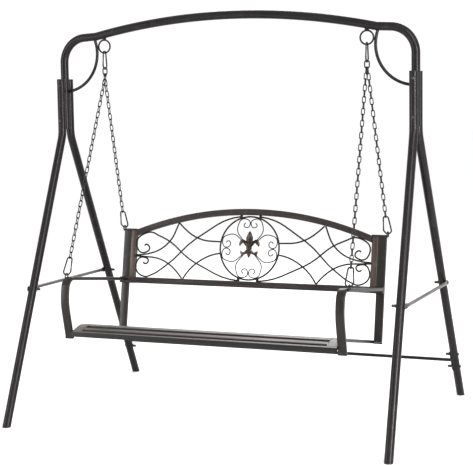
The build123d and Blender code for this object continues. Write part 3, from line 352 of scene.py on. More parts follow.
def coat(name, dark, light, rubbed, rough=(0.26, 0.42), metallic=0.3, lay=None, length=4,
         fineness=400, peel=900, rub=0.64, bump=0.08, rub_share=0.3, specular=0.2,
         tint=(1, 1, 1), side=None):
    """A painted metal: streaked tone along the lay, rubbed spots and orange peel.
    lay is None for pieces with their own lay, or the axis (0, 1 or 2) that bars run along.
    side is painted shade: the darker colour of faces that don't lie flat, standing in for the shade
    that falls on them."""
    mat = bpy.data.materials.new(name)
    mat.use_nodes = True
    tree = mat.node_tree
    link = tree.links.new
    shader = tree.nodes["Principled BSDF"]
    where = place(tree, "TexCoord")
    streaks = place(tree, "Group", {"Length": length, "Fineness": fineness}, node_tree=STREAKS)
    if lay is None:
        own = place(tree, "UVMap", uv_map="lay")
        link(own.outputs[0], streaks.inputs["Lay"])
    else:
        turn = place(tree, "SeparateXYZ")
        order = place(tree, "CombineXYZ")
        link(where.outputs["Object"], turn.inputs[0])
        for k, axis in enumerate("XYZ"):
            link(turn.outputs[(lay + k) % 3], order.inputs[axis])
        link(order.outputs[0], streaks.inputs["Lay"])
    grain = place(tree, "Group", {"Peel": peel, "Rub": rub}, node_tree=GRAIN)
    link(where.outputs["Object"], grain.inputs["Place"])
    tone = place(tree, "Mix", {"A": (*dark, 1), "B": (*light, 1)}, data_type="RGBA")
    link(streaks.outputs["Tone"], tone.inputs["Factor"])
    share = place(tree, "Math", {1: rub_share}, operation="MULTIPLY")
    link(grain.outputs["Rubbed"], share.inputs[0])
    worn = place(tree, "Mix", {"B": (*rubbed, 1)}, data_type="RGBA")
    link(tone.outputs["Result"], worn.inputs["A"])
    link(share.outputs[0], worn.inputs["Factor"])
    colour = worn
    # Painted shade: faces that don't point straight up take the dark side colour in place of the
    # shade on them.
    if side:
        facing = place(tree, "NewGeometry")
        upright = place(tree, "SeparateXYZ")
        flat = place(tree, "MapRange", {"From Min": 0.9, "From Max": 1.0})
        colour = place(tree, "Mix", {"A": (*side, 1)}, data_type="RGBA")
        link(facing.outputs["Normal"], upright.inputs[0])
        link(upright.outputs["Z"], flat.inputs["Value"])
        link(flat.outputs[0], colour.inputs["Factor"])
        link(worn.outputs["Result"], colour.inputs["B"])
    link(colour.outputs["Result"], shader.inputs["Base Color"])
    gloss = place(tree, "MapRange", {"To Min": rough[1], "To Max": rough[0]})
    link(streaks.outputs["Tone"], gloss.inputs["Value"])
    link(gloss.outputs[0], shader.inputs["Roughness"])
    fill(shader, {"Metallic": metallic, "Specular IOR Level": specular,
                  "Specular Tint": (*tint, 1)})
    relief = place(tree, "Bump", {"Strength": bump, "Distance": 0.0006})
    link(grain.outputs["Height"], relief.inputs["Height"])
    link(relief.outputs[0], shader.inputs["Normal"])
    return mat


GUNMETAL = dict(dark=(0.004, 0.004, 0.005), light=(0.015, 0.0145, 0.016),
                rubbed=(0.05, 0.042, 0.036), metallic=0.25)
BRONZE = dict(dark=(0.009, 0.0075, 0.0075), light=(0.045, 0.037, 0.035),
              rubbed=(0.1, 0.075, 0.06), rough=(0.3, 0.48), metallic=0.45, fineness=230)
stand_coat = coat("stand_gunmetal_coat", **GUNMETAL, rough=(0.2, 0.34), length=5, fineness=120,
                  tint=(1, 0.9, 0.83))
bracket_coat = coat("stand_bracket_coat", **GUNMETAL, rough=(0.26, 0.4), length=20, fineness=200)
brace_coat = coat("side_brace_grey_coat", dark=(0.03, 0.0275, 0.026), light=(0.1, 0.092, 0.087),
                  rubbed=(0.19, 0.175, 0.16), rough=(0.24, 0.38), length=5, fineness=160,
                  specular=0.5)
bench_coat = coat("bench_brushed_bronze_coat", **BRONZE)
arm_coat = coat("bench_dark_arm_coat", dark=(0.005, 0.0045, 0.0045), light=(0.021, 0.0175, 0.0165),
                rubbed=(0.07, 0.055, 0.045), rough=(0.24, 0.4), metallic=0.35, fineness=230,
                specular=0.32)
bench_across = coat("bench_bronze_across", **BRONZE, lay=0)
bench_deep = coat("bench_bronze_front_to_back", **BRONZE, lay=1)
post_coat = coat("end_post_worn_bronze", dark=(0.016, 0.0125, 0.011), light=(0.08, 0.062, 0.053),
                 rubbed=(0.17, 0.13, 0.105), rough=(0.3, 0.46), metallic=0.4, fineness=260)
# The seat's light grey tone is partly its own worn coat and partly painted sheen, standing in for
# the bright studio reflected on its tops. Its side colour is painted shade on the faces that don't
# lie flat.
seat_coat = coat("seat_grey_bronze_wear_painted_sheen_and_shade", dark=(0.06, 0.053, 0.048), light=(0.2, 0.178, 0.163),
                 rubbed=(0.3, 0.27, 0.245), fineness=260, specular=0.4,
                 side=(0.006, 0.0055, 0.005))
wire_coat = coat("scroll_wire_coat", dark=(0.004, 0.0035, 0.0035), light=(0.014, 0.012, 0.011),
                 rubbed=(0.045, 0.035, 0.03), rough=(0.34, 0.5), length=12, fineness=300)
chain_coat = coat("chain_black_coat", dark=(0.008, 0.008, 0.009), light=(0.026, 0.025, 0.026),
                  rubbed=(0.12, 0.11, 0.105), rough=(0.3, 0.46), metallic=0.45, length=40,
                  fineness=300, rub=0.58)
bolt_coat = coat("bolt_dark_zinc", dark=(0.02, 0.02, 0.021), light=(0.06, 0.058, 0.058),
                 rubbed=(0.2, 0.19, 0.18), metallic=0.7, length=60, rub=0.56)
cap_plastic = coat("cap_black_plastic", dark=(0.008, 0.008, 0.009), light=(0.018, 0.018, 0.019),
                   rubbed=(0.05, 0.05, 0.05), rough=(0.48, 0.6), metallic=0.0, lay=2, length=60,
                   fineness=60, peel=1400, bump=0.15)
cast_copper = coat("ornament_antique_copper", dark=(0.007, 0.005, 0.0045),
                   light=(0.036, 0.027, 0.024), rubbed=(0.13, 0.095, 0.08), rough=(0.24, 0.42),
                   metallic=0.7, lay=2, length=60, fineness=60, peel=500, rub=0.5, bump=0.35,
                   rub_share=0.8)


# The coat, slot and body of each kind of piece
STAND = (stand_coat, "stand_steel", "stand")
BRACE = (brace_coat, "stand_steel", "stand")
BRACKET = (bracket_coat, "stand_steel", "stand")
BOLT = (bolt_coat, "fasteners", "stand")
CAP = (cap_plastic, "cap_plastic", "stand")
RAIL = (bench_coat, "bench_steel", "swing")
ARM = (arm_coat, "bench_steel", "swing")
POST = (post_coat, "bench_steel", "swing")
BAND = (seat_coat, "bench_steel", "swing")
SEAT = (seat_coat, "seat_steel", "swing")
WIRE = (wire_coat, "wire_steel", "swing")
CHAIN = (chain_coat, "chain_steel", "swing")
CAST = (cast_copper, "cast_ornament", "swing")


def piece(name, parts, look, node, sharp=40):
    """A finished piece, made of one or more parts, in the place of a CAD node."""
    mat, slot, body = look
    obj = mesh_object(name, *join_data(parts), sharp=sharp)
    obj.data.materials.append(mat)
    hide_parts(node)
    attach(obj, body)


def recoat(mat, *names):
    """Gives CAD nodes a finish."""
    for name in names:
        mesh = nodes[name].data
        if not mesh.materials:
            mesh.materials.append(mat)
        for k in range(len(mesh.materials)):
            mesh.materials[k] = mat


# Stand
TUBE_SECTION, PAD_SECTION = round_section(TUBE, 32), round_section(TUBE - 1, 32)
PAD_TALL, FOOT_Z, LEG_TURN, CORNER_TURN = 5.7, 6.0, 120, 115
CURVE_START, CURVE_SWEEP, CURVE_SHOWN = 265, 110, 14
# Radius and height along the axis of a tube's cap, a bolt's head and a nut
CAP_SHAPE = ((19, 0), (19, 2.4), (18.6, 3.3), (17.6, 4.0), (0.5, 4.0))
HEAD_SHAPE = ((7.5, 0), (7.4, 1.0), (6.7, 2.5), (5.2, 3.7), (3.0, 4.4), (0.4, 4.5))
NUT_SHAPE = ((6.4, 0.2), (7.3, 0.9), (7.3, 5.6), (6.4, 6.3), (6.2, 6.5), (5.2, 5.9))
NUT_TALL, LONG_DOME, SHORT_DOME = 6.2, 13.0, 5.0
# A side brace's end: distance behind its bolt, width, height and squareness
BRACE_END = ((-12, 4.4, 14, 0.7), (-10.5, 5, 20, 0.5), (-6, 5, 23.4, 0.4), (12, 5, 24, 0.4),
             (18, 7.5, 22.5, 0.6), (26, 12.5, 19, 0.85), (34, 15.6, 16.3, 1), (40, 16, 16, 1))
BRACE_FLAT, BRACE_TUBE, RAIL_TUBE = 5.0, 16, 16
LEG_BOLTS = (LEG_TOP_Z - 27, BEND_Z + 67)
SADDLE_IN, SADDLE_OUT, SADDLE_WRAP, SADDLE_HALF, SADDLE_BOLT = 19.3, 22.3, 54, 50, 37


def leg_spot(s, way, reach, height):
    """A point of a leg's centre line below its bend."""
    rise = height / BEND_Z
    return Vector((s * (FOOT_X - (FOOT_X - LEG_TOP_X) * rise),
                   PIVOT_Y + way * (reach + (LEG_GAP - reach) * rise), height))


def make_legs():
    caps, pads = [], []
    for side, s in SIDES:
        for end, way, reach in (("front", -1, FRONT_REACH), ("rear", 1, REAR_REACH)):
            top = Vector((s * LEG_TOP_X, PIVOT_Y + way * LEG_GAP, LEG_TOP_Z))
            bend = Vector((top.x, top.y, BEND_Z))
            foot = leg_spot(s, way, reach, FOOT_Z)
            path = longer(rounded_path((top, bend, foot), (LEG_TURN,)))
            across = (bend - top).cross(foot - bend)
            tube = sweep_data(path, TUBE_SECTION, across, planes=(None, (foot, UP)))
            piece(f"tube_leg_{end}_{side}", [tube], STAND, f"leg_{end}_{side}")
            ground = leg_spot(s, way, reach, 0.0)
            pads.append(sweep_data([ground, leg_spot(s, way, reach, PAD_TALL)], PAD_SECTION, across,
                                   planes=((ground, UP), ((0, 0, PAD_TALL), UP))))
            caps.append(lathe_data(CAP_SHAPE, top + Vector((0, 0, FIT)), UP, 32))
        caps.append(lathe_data(CAP_SHAPE, (s * LEG_TOP_X, PIVOT_Y, CORNER_END_Z - FIT),
                               (0, 0, -1), 32))
    piece("plastic_tube_caps", caps, CAP, "tube_caps")
    piece("plastic_foot_pads", pads, CAP, "foot_pads")


def make_top_frame():
    mitre = (arch_end + CORNER_SLOPE) / 2
    joint = [Vector((math.cos(mitre), 0, -s * math.sin(mitre))) for s in (-1, 1)]
    ends = [(Vector((s * (KINK_X - FIT), PIVOT_Y, KINK_Z)), n) for s, n in zip((-1, 1), joint)]
    angles = [arch_end * (k / 20 - 1) for k in range(41)]
    arch = [(arch_r * math.sin(a), PIVOT_Y, arch_z + arch_r * math.cos(a)) for a in angles]
    tubes = [sweep_data(arch, TUBE_SECTION, DEEP, planes=ends)]
    curves, rings = [], []
    drop = (LEG_TOP_X - KINK_X) * math.tan(CORNER_SLOPE)
    lug_top = arch_z + math.sqrt((arch_r - TUBE / 2) ** 2 - ring_x ** 2) + 1
    for _, s in SIDES:
        kink = (s * KINK_X, PIVOT_Y, KINK_Z)
        line = ((s * LEG_TOP_X, PIVOT_Y, CORNER_END_Z), (s * LEG_TOP_X, PIVOT_Y, KINK_Z - drop),
                kink)
        tubes.append(sweep_data(longer(rounded_path(line, (CORNER_TURN,), 4)), TUBE_SECTION, DEEP,
                                planes=(None, (kink, joint[s > 0]))))
        turns = [turned(CURVE_START - CURVE_SWEEP * k / 24) for k in range(25)]
        arc = [(s * (LEG_TOP_X + CURVE_R * x), PIVOT_Y, CURVE_Z + CURVE_R * z) for x, z in turns]
        curves.append(sweep_data(arc, round_section(CURVE_SHOWN), DEEP))
        rings.append(ring_data((s * ring_x, PIVOT_Y, RING_Z), ACROSS, UP, RING_R, RING_WIRE))
        lug = [(s * ring_x, PIVOT_Y, RING_Z + RING_R), (s * ring_x, PIVOT_Y, lug_top)]
        rings.append(sweep_data(lug, oblong_section(20, 8, 2.5), ACROSS))
    piece("arched_top_tubes", tubes, STAND, "top_frame")
    piece("quarter_round_braces", curves, STAND, "curved_braces")
    piece("welded_hanger_rings", rings, STAND, "hanger_rings")


def bolt_data(spot, way, grip, dome):
    """A round-headed bolt and its closed nut; dome is how far the nut reaches past its flats."""
    way = Vector(way).normalized()
    spot = Vector(spot)
    cap = [(6.3, 0), (6.3, dome * 0.55), (5.9, dome * 0.78), (4.6, dome * 0.93), (2.4, dome),
           (0.3, dome)]
    return [lathe_data(HEAD_SHAPE, spot - way * FIT, -way),
            lathe_data(NUT_SHAPE, spot + way * (grip + FIT), way, 6),
            lathe_data(cap, spot + way * (grip + NUT_TALL), way, 16)]


def make_stand_links():
    front = leg_spot(1, -1, FRONT_REACH, BRACE_Z)
    rear = leg_spot(1, 1, REAR_REACH, BRACE_Z)
    near = [(front.y + y, *shape) for y, *shape in BRACE_END]
    far = [(rear.y - y, *shape) for y, *shape in reversed(BRACE_END)]
    gap = (far[0][0] - near[-1][0]) / 16
    middle = [(near[-1][0] + gap * k, BRACE_TUBE, BRACE_TUBE, 1) for k in range(1, 16)]
    run = near + middle + far
    sections = [super_round(*shape) for _, *shape in run]
    x = front.x + TUBE / 2 + 2 * FIT + BRACE_FLAT / 2
    outer = LEG_GAP + TUBE / 2
    brace_sets, leg_sets, rail_sets, saddles = [], [], [], []
    for side, s in SIDES:
        brace = sweep_data([(s * x, y, BRACE_Z) for y, *_ in run], sections, ACROSS)
        piece(f"side_brace_tube_{side}", [brace], BRACE, f"side_brace_{side}")
        for spot in (front, rear):
            brace_sets += bolt_data((s * (x + BRACE_FLAT / 2), spot.y, BRACE_Z), (-s, 0, 0),
                                    BRACE_FLAT + 3 * FIT + TUBE, LONG_DOME)
        for z in LEG_BOLTS:
            leg_sets += bolt_data((s * LEG_TOP_X, PIVOT_Y - outer, z), DEEP, 2 * outer, SHORT_DOME)
        centre = leg_spot(s, 1, REAR_REACH, RAIL_Z)
        up = (leg_spot(s, 1, REAR_REACH, BEND_Z) - leg_spot(s, 1, REAR_REACH, 0)).normalized()
        inward = Vector((-s, 0, 0))
        inward = (inward - up * inward.dot(up)).normalized()
        turns = [turned(SADDLE_WRAP * (k / 8 - 1)) for k in range(17)]
        strip = [(SADDLE_OUT * c, SADDLE_OUT * n) for c, n in turns]
        strip += [(SADDLE_IN * c, SADDLE_IN * n) for c, n in reversed(turns)]
        saddles.append(sweep_data([centre - up * SADDLE_HALF, centre + up * SADDLE_HALF], strip,
                                  inward))
        for rise in (-SADDLE_BOLT, SADDLE_BOLT):
            rail_sets += bolt_data(centre + up * rise - inward * TUBE / 2, inward,
                                   SADDLE_OUT + TUBE / 2, LONG_DOME)
    for kind, sets in (("brace", brace_sets), ("leg", leg_sets), ("rail", rail_sets)):
        piece(f"{kind}_bolts_and_nuts", sets, BOLT, f"{kind}_bolts", 28)
    piece("rail_saddle_plates", saddles, BRACKET, "rail_brackets")
    low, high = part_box("rear_rail")
    path = longer([Vector((low.x / MM + 1, centre.y, RAIL_Z)),
                   Vector((high.x / MM - 1, centre.y, RAIL_Z))])
    rail = sweep_data(path, round_section(RAIL_TUBE), DEEP)
    piece("rear_rail_tube", [rail], STAND, "rear_rail")


# Hanging gear
CHAIN_WIRE, LINK_WIDE = 4.5, 14.0
OVAL_TALL, OVAL_WIDE, OVAL_WIRE = 34, 21, 6
HOOK_BAR, HOOK_DROP, HOOK_HALF = 7.0, 83.0, 11.0
BELLY_X, BELLY_Y = -17.5, -(HOOK_DROP - 15)
HOOK_TURNS = (9, 9, 17, 11, 11)
# Distance along the gate's line, width, height and squareness
NOSE = ((56.0, 2.2, 5.0, 0.5), (58.5, 2.2, 5.6, 0.5), (60.0, 5, 6, 0.8))
HINGE_EYE = ((16, 5, 7, 0.8), (18, 2.2, 7, 0.5), (21, 2.2, 6.6, 0.5), (23.5, 2.0, 3.4, 0.5))
GATE_ROD = ((25, 4.6, 4.6, 1), (25.8, 6, 6, 1), (53.8, 6, 6, 1), (54.6, 4.6, 4.6, 1))
HINGE_CHEEK = ((18.4, 1.3, 3.0, 0.6), (19.2, 1.4, 5.6, 0.6), (26.5, 1.4, 5.6, 0.6))
NOSE_CHEEK = ((53, 1.4, 5.6, 0.6), (59.2, 1.4, 5.2, 0.6), (59.9, 1.2, 4.0, 0.6))
CHEEK_LIFT, PIN_AT, PIN_HALF = 2.25, 21, 3.3
PIN_SHAPE = ((0.9, 0), (1.4, 0.4), (1.4, 6.2), (0.9, 6.6))


def loose_parts(name):
    """The middles and the long, wide and thin directions of a CAD node's separate solids."""
    bm = bmesh.new()
    bm.from_mesh(nodes[name].data)
    bmesh.ops.remove_doubles(bm, verts=bm.verts, dist=1e-5)
    bm.verts.ensure_lookup_table()
    seen, parts = set(), []
    for seed in bm.verts:
        if seed.index in seen:
            continue
        stack, found = [seed], []
        seen.add(seed.index)
        while stack:
            v = stack.pop()
            found.append(v.co / MM)
            for e in v.link_edges:
                o = e.other_vert(v)
                if o.index not in seen:
                    seen.add(o.index)
                    stack.append(o)
        co = np.array([tuple(c) for c in found])
        mid = co.mean(0)
        _, _, ways = np.linalg.svd(co - mid)
        parts.append((Vector(mid), *(Vector(w) for w in ways)))
    bm.free()
    return sorted(parts, key=lambda p: -p[0].z)


def link_path(centre, along, across, length, width, count=10):
    """The middle line of an oblong link with round ends."""
    radius = width / 2
    half = length / 2 - radius
    path = []
    for end in (1, -1):
        for k in range(count + 1):
            a = math.pi * k / count
            path.append(centre + along * (end * (half + radius * math.sin(a)))
                        + across * (end * radius * math.cos(a)))
    return path


def make_chains():
    for side, s in SIDES:
        for end in ("front", "rear"):
            name = f"chain_{end}_{side}"
            parts = loose_parts(name)
            pitch = (parts[0][0] - parts[1][0]).length
            links = []
            for centre, along, across, normal in parts:
                path = link_path(centre, along, across, pitch + FIT + CHAIN_WIRE, LINK_WIDE)
                links.append(sweep_data(path, round_section(CHAIN_WIRE, 10), normal, closed=True))
            piece(f"{name}_links", links, CHAIN, name)
            along = (parts[-1][0] - parts[0][0]).normalized()
            sideways = parts[-1][3] * math.copysign(1, parts[-1][3].x)
            across = sideways if end == "rear" else -sideways
            origin = parts[-1][0] + along * ((pitch - FIT) / 2 - HOOK_BAR / 2)
            make_hook(f"{end}_{side}", origin, across, -along)
    ovals = []
    seat = PIVOT_Z + RING_WIRE / 2 + 2 * FIT
    oval_z = seat + HOOK_BAR - HOOK_DROP + 2 * FIT + (OVAL_WIRE - OVAL_TALL) / 2
    for side, s in SIDES:
        origin = Vector((s * ring_x, PIVOT_Y, seat + HOOK_BAR / 2))
        make_hook(side, origin, Vector(DEEP), Vector(UP), "top_")
        path = link_path(Vector((s * ring_x, PIVOT_Y, oval_z)), Vector(UP), Vector(ACROSS),
                         OVAL_TALL, OVAL_WIDE, 14)
        ovals.append(sweep_data(path, round_section(OVAL_WIRE, 14), DEEP, closed=True))
    piece("oval_connecting_links", ovals, CHAIN, "oval_links")


def gate_spot(distance):
    dx, dy = BELLY_X + HOOK_HALF, BELLY_Y
    length = math.hypot(dx, dy)
    return (-HOOK_HALF + dx * distance / length, dy * distance / length)


def make_hook(tag, origin, across, up, kind=""):
    """A snap hook of bent round bar, its flat hinge eye and nose, and the gate with its pin."""
    normal = across.cross(up)

    def spot(point, lift=0.0):
        return origin + across * point[0] + up * point[1] + normal * lift

    def on_gate(rows, lift=0.0):
        """Points and sections of a run along the gate's line."""
        return ([spot(gate_spot(d), lift) for d, *_ in rows],
                [super_round(*shape, 16) for _, *shape in rows])

    corners = [gate_spot(60.5), (BELLY_X, BELLY_Y), (-6, -HOOK_DROP), (21, -HOOK_DROP),
               (HOOK_HALF, 0), (-HOOK_HALF, 0), gate_spot(15)]
    bend = rounded_path([spot(c) for c in corners], HOOK_TURNS, 9)
    nose, flat = on_gate(NOSE)
    eye, tongue = on_gate(HINGE_EYE)
    bar = sweep_data(nose + bend + eye, flat + [round_section(HOOK_BAR, 16)] * len(bend) + tongue,
                     normal)
    piece(f"snap_{kind}hook_{tag}", [bar], CHAIN, f"{kind}hook_{tag}", 60)
    name = f"{kind}gate_{tag}"
    parts = [sweep_data(*on_gate(GATE_ROD), normal)]
    for lift in (-CHEEK_LIFT, CHEEK_LIFT):
        parts += [sweep_data(*on_gate(rows, lift), normal) for rows in (HINGE_CHEEK, NOSE_CHEEK)]
    parts.append(lathe_data(PIN_SHAPE, spot(gate_spot(PIN_AT), -PIN_HALF), normal, 12))
    piece(f"snap_{name}", parts, (chain_coat, "chain_steel", name), name, 50)


# Bench
ARM_FRONT, ARM_REAR_Z = (-62, 270), 246
POST_FOOT, POST_BULGE, POST_START, POST_TURNS = (-20, 0), (-76, 172), 8, (220, 44)
EYE_X, FRONT_EYE_Y, EYE_R, EYE_WIRE = SIDE_X + 22.3, -21, 12, 6
POST_LOW, POST_TOP, POST_DEPTH = 8, 483, -0.5
END_X, END_WIDE, END_LOW, END_DEPTH = 608.7, 30, 226, 2
LOW_RAIL_HALF, LOW_RAIL_UP, LOW_RAIL_DEPTH, LOW_RAIL_TALL, BAR_DEEP = 662, 241, -18.3, 29, 20
TOP_HALF, TOP_RISE, TOP_UP, TOP_TALL, TOP_REACH, TOP_DEPTH = 585, 108, 598, 29.5, 593.4, -4
TOP_R = (TOP_HALF ** 2 + TOP_RISE ** 2) / (2 * TOP_RISE)
BAND_X, BAND_WIDE, BAND_THICK, SEAT_TURN = 598.7, 50, 15, 150
SEAT_CORNERS = ((-50, 29.5), (38, 62.5), (505, 14.5))
FRONT_RAIL_Y, FRONT_RAIL_DEEP, FRONT_RAIL_HALF = (-49.7, -34), 20, 623.4
SLAT_HALF, SLAT_DEEP, SLAT_WALL = 573.4, 8, 1
SLATS = ((-21, 5),) + tuple((22 + 68 * k, 72 + 68 * k) for k in range(7))


def hung(x, y, z):
    """A point on the bench's own axes, tilted and hung in place."""
    return Vector((x, PIVOT_Y - REACH + y * math.cos(TILT) + z * math.sin(TILT),
                   HEIGHT - y * math.sin(TILT) + z * math.cos(TILT)))


def back(x, up, depth):
    """A point of the leaning back: across, up the lean, and behind its reference."""
    return hung(x, BACK_Y + depth * math.cos(LEAN) + up * math.sin(LEAN),
                up * math.cos(LEAN) - depth * math.sin(LEAN))


BENCH_Y, BENCH_Z = hung(0, 1, 0) - hung(0, 0, 0), hung(0, 0, 1) - hung(0, 0, 0)
BACK_OUT, BACK_UP = back(0, 0, -1) - back(0, 0, 0), back(0, 1, 0) - back(0, 0, 0)
LOW_RAIL_FACE = LOW_RAIL_DEPTH - BAR_DEEP / 2
ARM_REAR_Y = BACK_Y + LOW_RAIL_FACE * math.cos(LEAN) + LOW_RAIL_UP * math.sin(LEAN)


def side_eye_spot(end):
    if end == "front":
        share = (FRONT_EYE_Y - ARM_FRONT[0]) / (ARM_REAR_Y - ARM_FRONT[0])
        middle = ARM_FRONT[1] + (ARM_REAR_Z - ARM_FRONT[1]) * share
        return (EYE_X, FRONT_EYE_Y, middle + SIDE_D / 2 + EYE_WIRE / 2)
    top = POST_TOP + FIT + 8
    return (EYE_X, BACK_Y + POST_DEPTH * math.cos(LEAN) + top * math.sin(LEAN),
            top * math.cos(LEAN) - POST_DEPTH * math.sin(LEAN) + EYE_WIRE / 2)


def seat_line(drop, step=2):
    """Points along the seat's line at a drop below its top, from the front edge to the rear."""
    corners = [Vector(c) for c in SEAT_CORNERS]
    ways = [(b - a).normalized() for a, b in zip(corners, corners[1:])]
    under = [Vector((d.y, -d.x)) for d in ways]
    bend = (under[0] + under[1]) / (1 + under[0].dot(under[1]))
    spots = [c + d * drop for c, d in zip(corners, (under[0], bend, under[1]))]
    return [(p.x, p.y) for p in rounded_path([(*p, 0) for p in spots], (SEAT_TURN - drop,), step)]


def seat_height(y, drop):
    line = seat_line(drop)
    for (y0, z0), (y1, z1) in zip(line, line[1:]):
        if y <= y1:
            break
    return z0 + (z1 - z0) * (y - y0) / (y1 - y0)


def make_bench_frame():
    for side, s in SIDES:
        share = POST_START / math.dist(POST_FOOT, POST_BULGE)
        start = (POST_FOOT[0] + (POST_BULGE[0] - POST_FOOT[0]) * share, POST_BULGE[1] * share)
        line = (start, POST_BULGE, ARM_FRONT, (ARM_REAR_Y - FIT, ARM_REAR_Z))
        path = longer(rounded_path([hung(s * SIDE_X, y, z) for y, z in line], POST_TURNS, 4))
        post = sweep_data(path, oblong_section(SIDE_W, SIDE_D, 3.5, 5), ACROSS)
        piece(f"bowed_post_and_arm_{side}", [post], ARM, f"side_frame_{side}")
        path = longer([hung(s * BAND_X, y, z) for y, z in seat_line(BAND_THICK / 2, 3)])
        band = sweep_data(path, oblong_section(BAND_WIDE, BAND_THICK, 3), ACROSS,
                          planes=((hung(0, FRONT_RAIL_Y[1] + FIT, 0), BENCH_Y), None))
        piece(f"seat_side_band_{side}", [band], BAND, f"seat_rail_{side}")
        path = longer([back(s * SIDE_X, up, POST_DEPTH) for up in (POST_LOW, POST_TOP)])
        rear = sweep_data(path, oblong_section(SIDE_W, SIDE_D, 2.5), ACROSS)
        piece(f"rear_post_tube_{side}", [rear], ARM, f"rear_post_{side}")
        path = longer([back(s * END_X, up, END_DEPTH) for up in (END_LOW, POST_TOP)])
        end = sweep_data(path, oblong_section(END_WIDE, BAR_DEEP, 2.5), ACROSS)
        piece(f"back_end_post_{side}", [end], POST, f"end_post_{side}")
    path = longer([back(s * LOW_RAIL_HALF, LOW_RAIL_UP, LOW_RAIL_DEPTH) for s in (-1, 1)])
    low = sweep_data(path, oblong_section(LOW_RAIL_TALL, BAR_DEEP, 2.5), BACK_UP)
    piece("low_back_rail", [low], RAIL, "low_rail")
    middle_r = TOP_R - TOP_TALL / 2
    turn = math.asin(TOP_REACH / middle_r)
    path = []
    for k in range(49):
        a = turn * (k / 24 - 1)
        path.append(back(middle_r * math.sin(a), TOP_UP - TOP_R + middle_r * math.cos(a),
                         TOP_DEPTH))
    ends = [(back(x, 0, 0), ACROSS) for x in (-TOP_REACH, TOP_REACH)]
    top = sweep_data(path, oblong_section(BAR_DEEP, TOP_TALL, 2.5), BACK_OUT, planes=ends)
    piece("arched_top_rail", [top], RAIL, "top_rail")
    for end in ("front", "rear"):
        x, y, z = side_eye_spot(end)
        eyes = [ring_data(hung(s * x, y, z), BENCH_Y, BENCH_Z, EYE_R, EYE_WIRE, 32, 14)
                for _, s in SIDES]
        piece(f"welded_{end}_eyes", eyes, CHAIN, f"{end}_eyes")
    recoat(bench_across, "seat_rear_rail", "post_caps")
    recoat(bench_deep, "seat_bearers")
    recoat(cap_plastic, "end_caps")


def channel_outline(start, end, fold=1.6, steps=8):
    """The outline of a slat folded from sheet, with rounded folds and open below."""
    ys = [start + (end - start) * k / steps for k in range(steps + 1)]
    near, far, small = start + SLAT_WALL, end - SLAT_WALL, 0.3 * fold
    top = [(start, seat_height(start, 0) - fold), (start + small, seat_height(start, 0) - small)]
    top += [(max(start + fold, min(end - fold, y)), seat_height(y, 0)) for y in ys]
    top += [(end - small, seat_height(end, 0) - small), (end, seat_height(end, 0) - fold),
            (end, seat_height(end, SLAT_DEEP))]
    inside = [(near, seat_height(near, SLAT_DEEP))]
    inside += [(y, seat_height(y, SLAT_WALL)) for y in (near, *ys[1:-1], far)]
    inside += [(far, seat_height(far, SLAT_DEEP))]
    return top + inside[::-1] + [(start, seat_height(start, SLAT_DEEP))]


def make_seat():
    path = longer([hung(-SLAT_HALF, 0, 0), hung(SLAT_HALF, 0, 0)], 120)
    slats = [sweep_data(path, channel_outline(start, end), BENCH_Y) for start, end in SLATS]
    piece("folded_seat_slats", slats, SEAT, "seat_slats")
    front, rear = FRONT_RAIL_Y
    corners = [(rear, seat_height(rear, 0)), (rear, seat_height(rear, FRONT_RAIL_DEEP)),
               (front, seat_height(front, FRONT_RAIL_DEEP)), (front, seat_height(front, 0))]
    middle = ((front + rear) / 2, (corners[0][1] + corners[3][1]) / 2)
    line = rounded_path([(*c, 0) for c in (middle, *corners, middle)], (2.5,) * 4, 25)
    path = longer([hung(-FRONT_RAIL_HALF, 0, 0), hung(FRONT_RAIL_HALF, 0, 0)], 120)
    rail = sweep_data(path, [(p.x, p.y) for p in line[:-1]], BENCH_Y)
    piece("front_edge_rail", [rail], SEAT, "front_rail")


# Scrollwork
PANEL_LOW, PANEL_HIGH = LOW_RAIL_UP + LOW_RAIL_TALL / 2, TOP_UP - TOP_TALL
PANEL_MID, PANEL_TALL = (PANEL_LOW + PANEL_HIGH) / 2, (PANEL_HIGH - PANEL_LOW) / 2
PANEL_WIDE = SIDE_X - SIDE_W / 2 - FIT - END_WIDE
WIRE_R, WIRE_WIDE, HEART_DEEP, HEART_WIDE, RING_SHOWN = 2.5, 7.8, 4.0, 4.8, 8.2
CLEAR, RUN_ON = WIRE_R + FIT, 2.4
RING_OUT = PANEL_TALL - 4
RING_MID, RING_INNER, TAB_REACH, ARC_START = (RING_OUT + d for d in (-3.9, -7, -3.5, 1.4))
FRONT_LAYER = END_DEPTH - BAR_DEEP / 2 - CLEAR
REAR_LAYER = FRONT_LAYER + 2 * WIRE_R + FIT
RING_LAYER = (FRONT_LAYER + REAR_LAYER) / 2
TAB_X, TAB_WIDE = 48, 12
TAB_SIDE = TAB_X + TAB_WIDE / 2 + 3 * FIT
HIGH_PEAK, LOW_PEAK = PANEL_WIDE * 0.621, PANEL_WIDE * 0.57
# Across and up, as shares of the panel's half width and half height from the ring's centre
UPPER = ((0.9183, -0.0064), (0.8787, -0.0385), (0.9284, -0.2372), (0.9929, 0.0256),
         (0.8896, 0.4006), (0.7717, 0.2724), (0.4583, -0.5))
LOWER = ((0.9267, -0.5321), (0.8863, -0.5064), (0.9351, -0.3718), (0.9949, -0.6494),
         (0.9048, -0.97), (0.8416, -0.8951), (0.7245, -0.609), (0.4718, 0.2372))
# Across and up, as shares of the ring's inner radius
HEART = ((0.211, 0.2316), (0.4433, 0.6667), (0.2488, 0.9505), (0.0148, 0.7973),
         (0.1375, 0.6667), (0.2268, 0.7423), (0.1787, 0.811))
# Headings at the two ends, in degrees
UPPER_WAYS, LOWER_WAYS, HEART_WAYS = (114.0, 183.6), (-114.0, 173.5), (46.0, 150.0)


def panel(share):
    return (PANEL_WIDE * share[0], PANEL_MID + PANEL_TALL * share[1])


def underside(x):
    """How far up the top rail's lower face is."""
    return TOP_UP - TOP_R + math.sqrt((TOP_R - TOP_TALL) ** 2 - x * x)


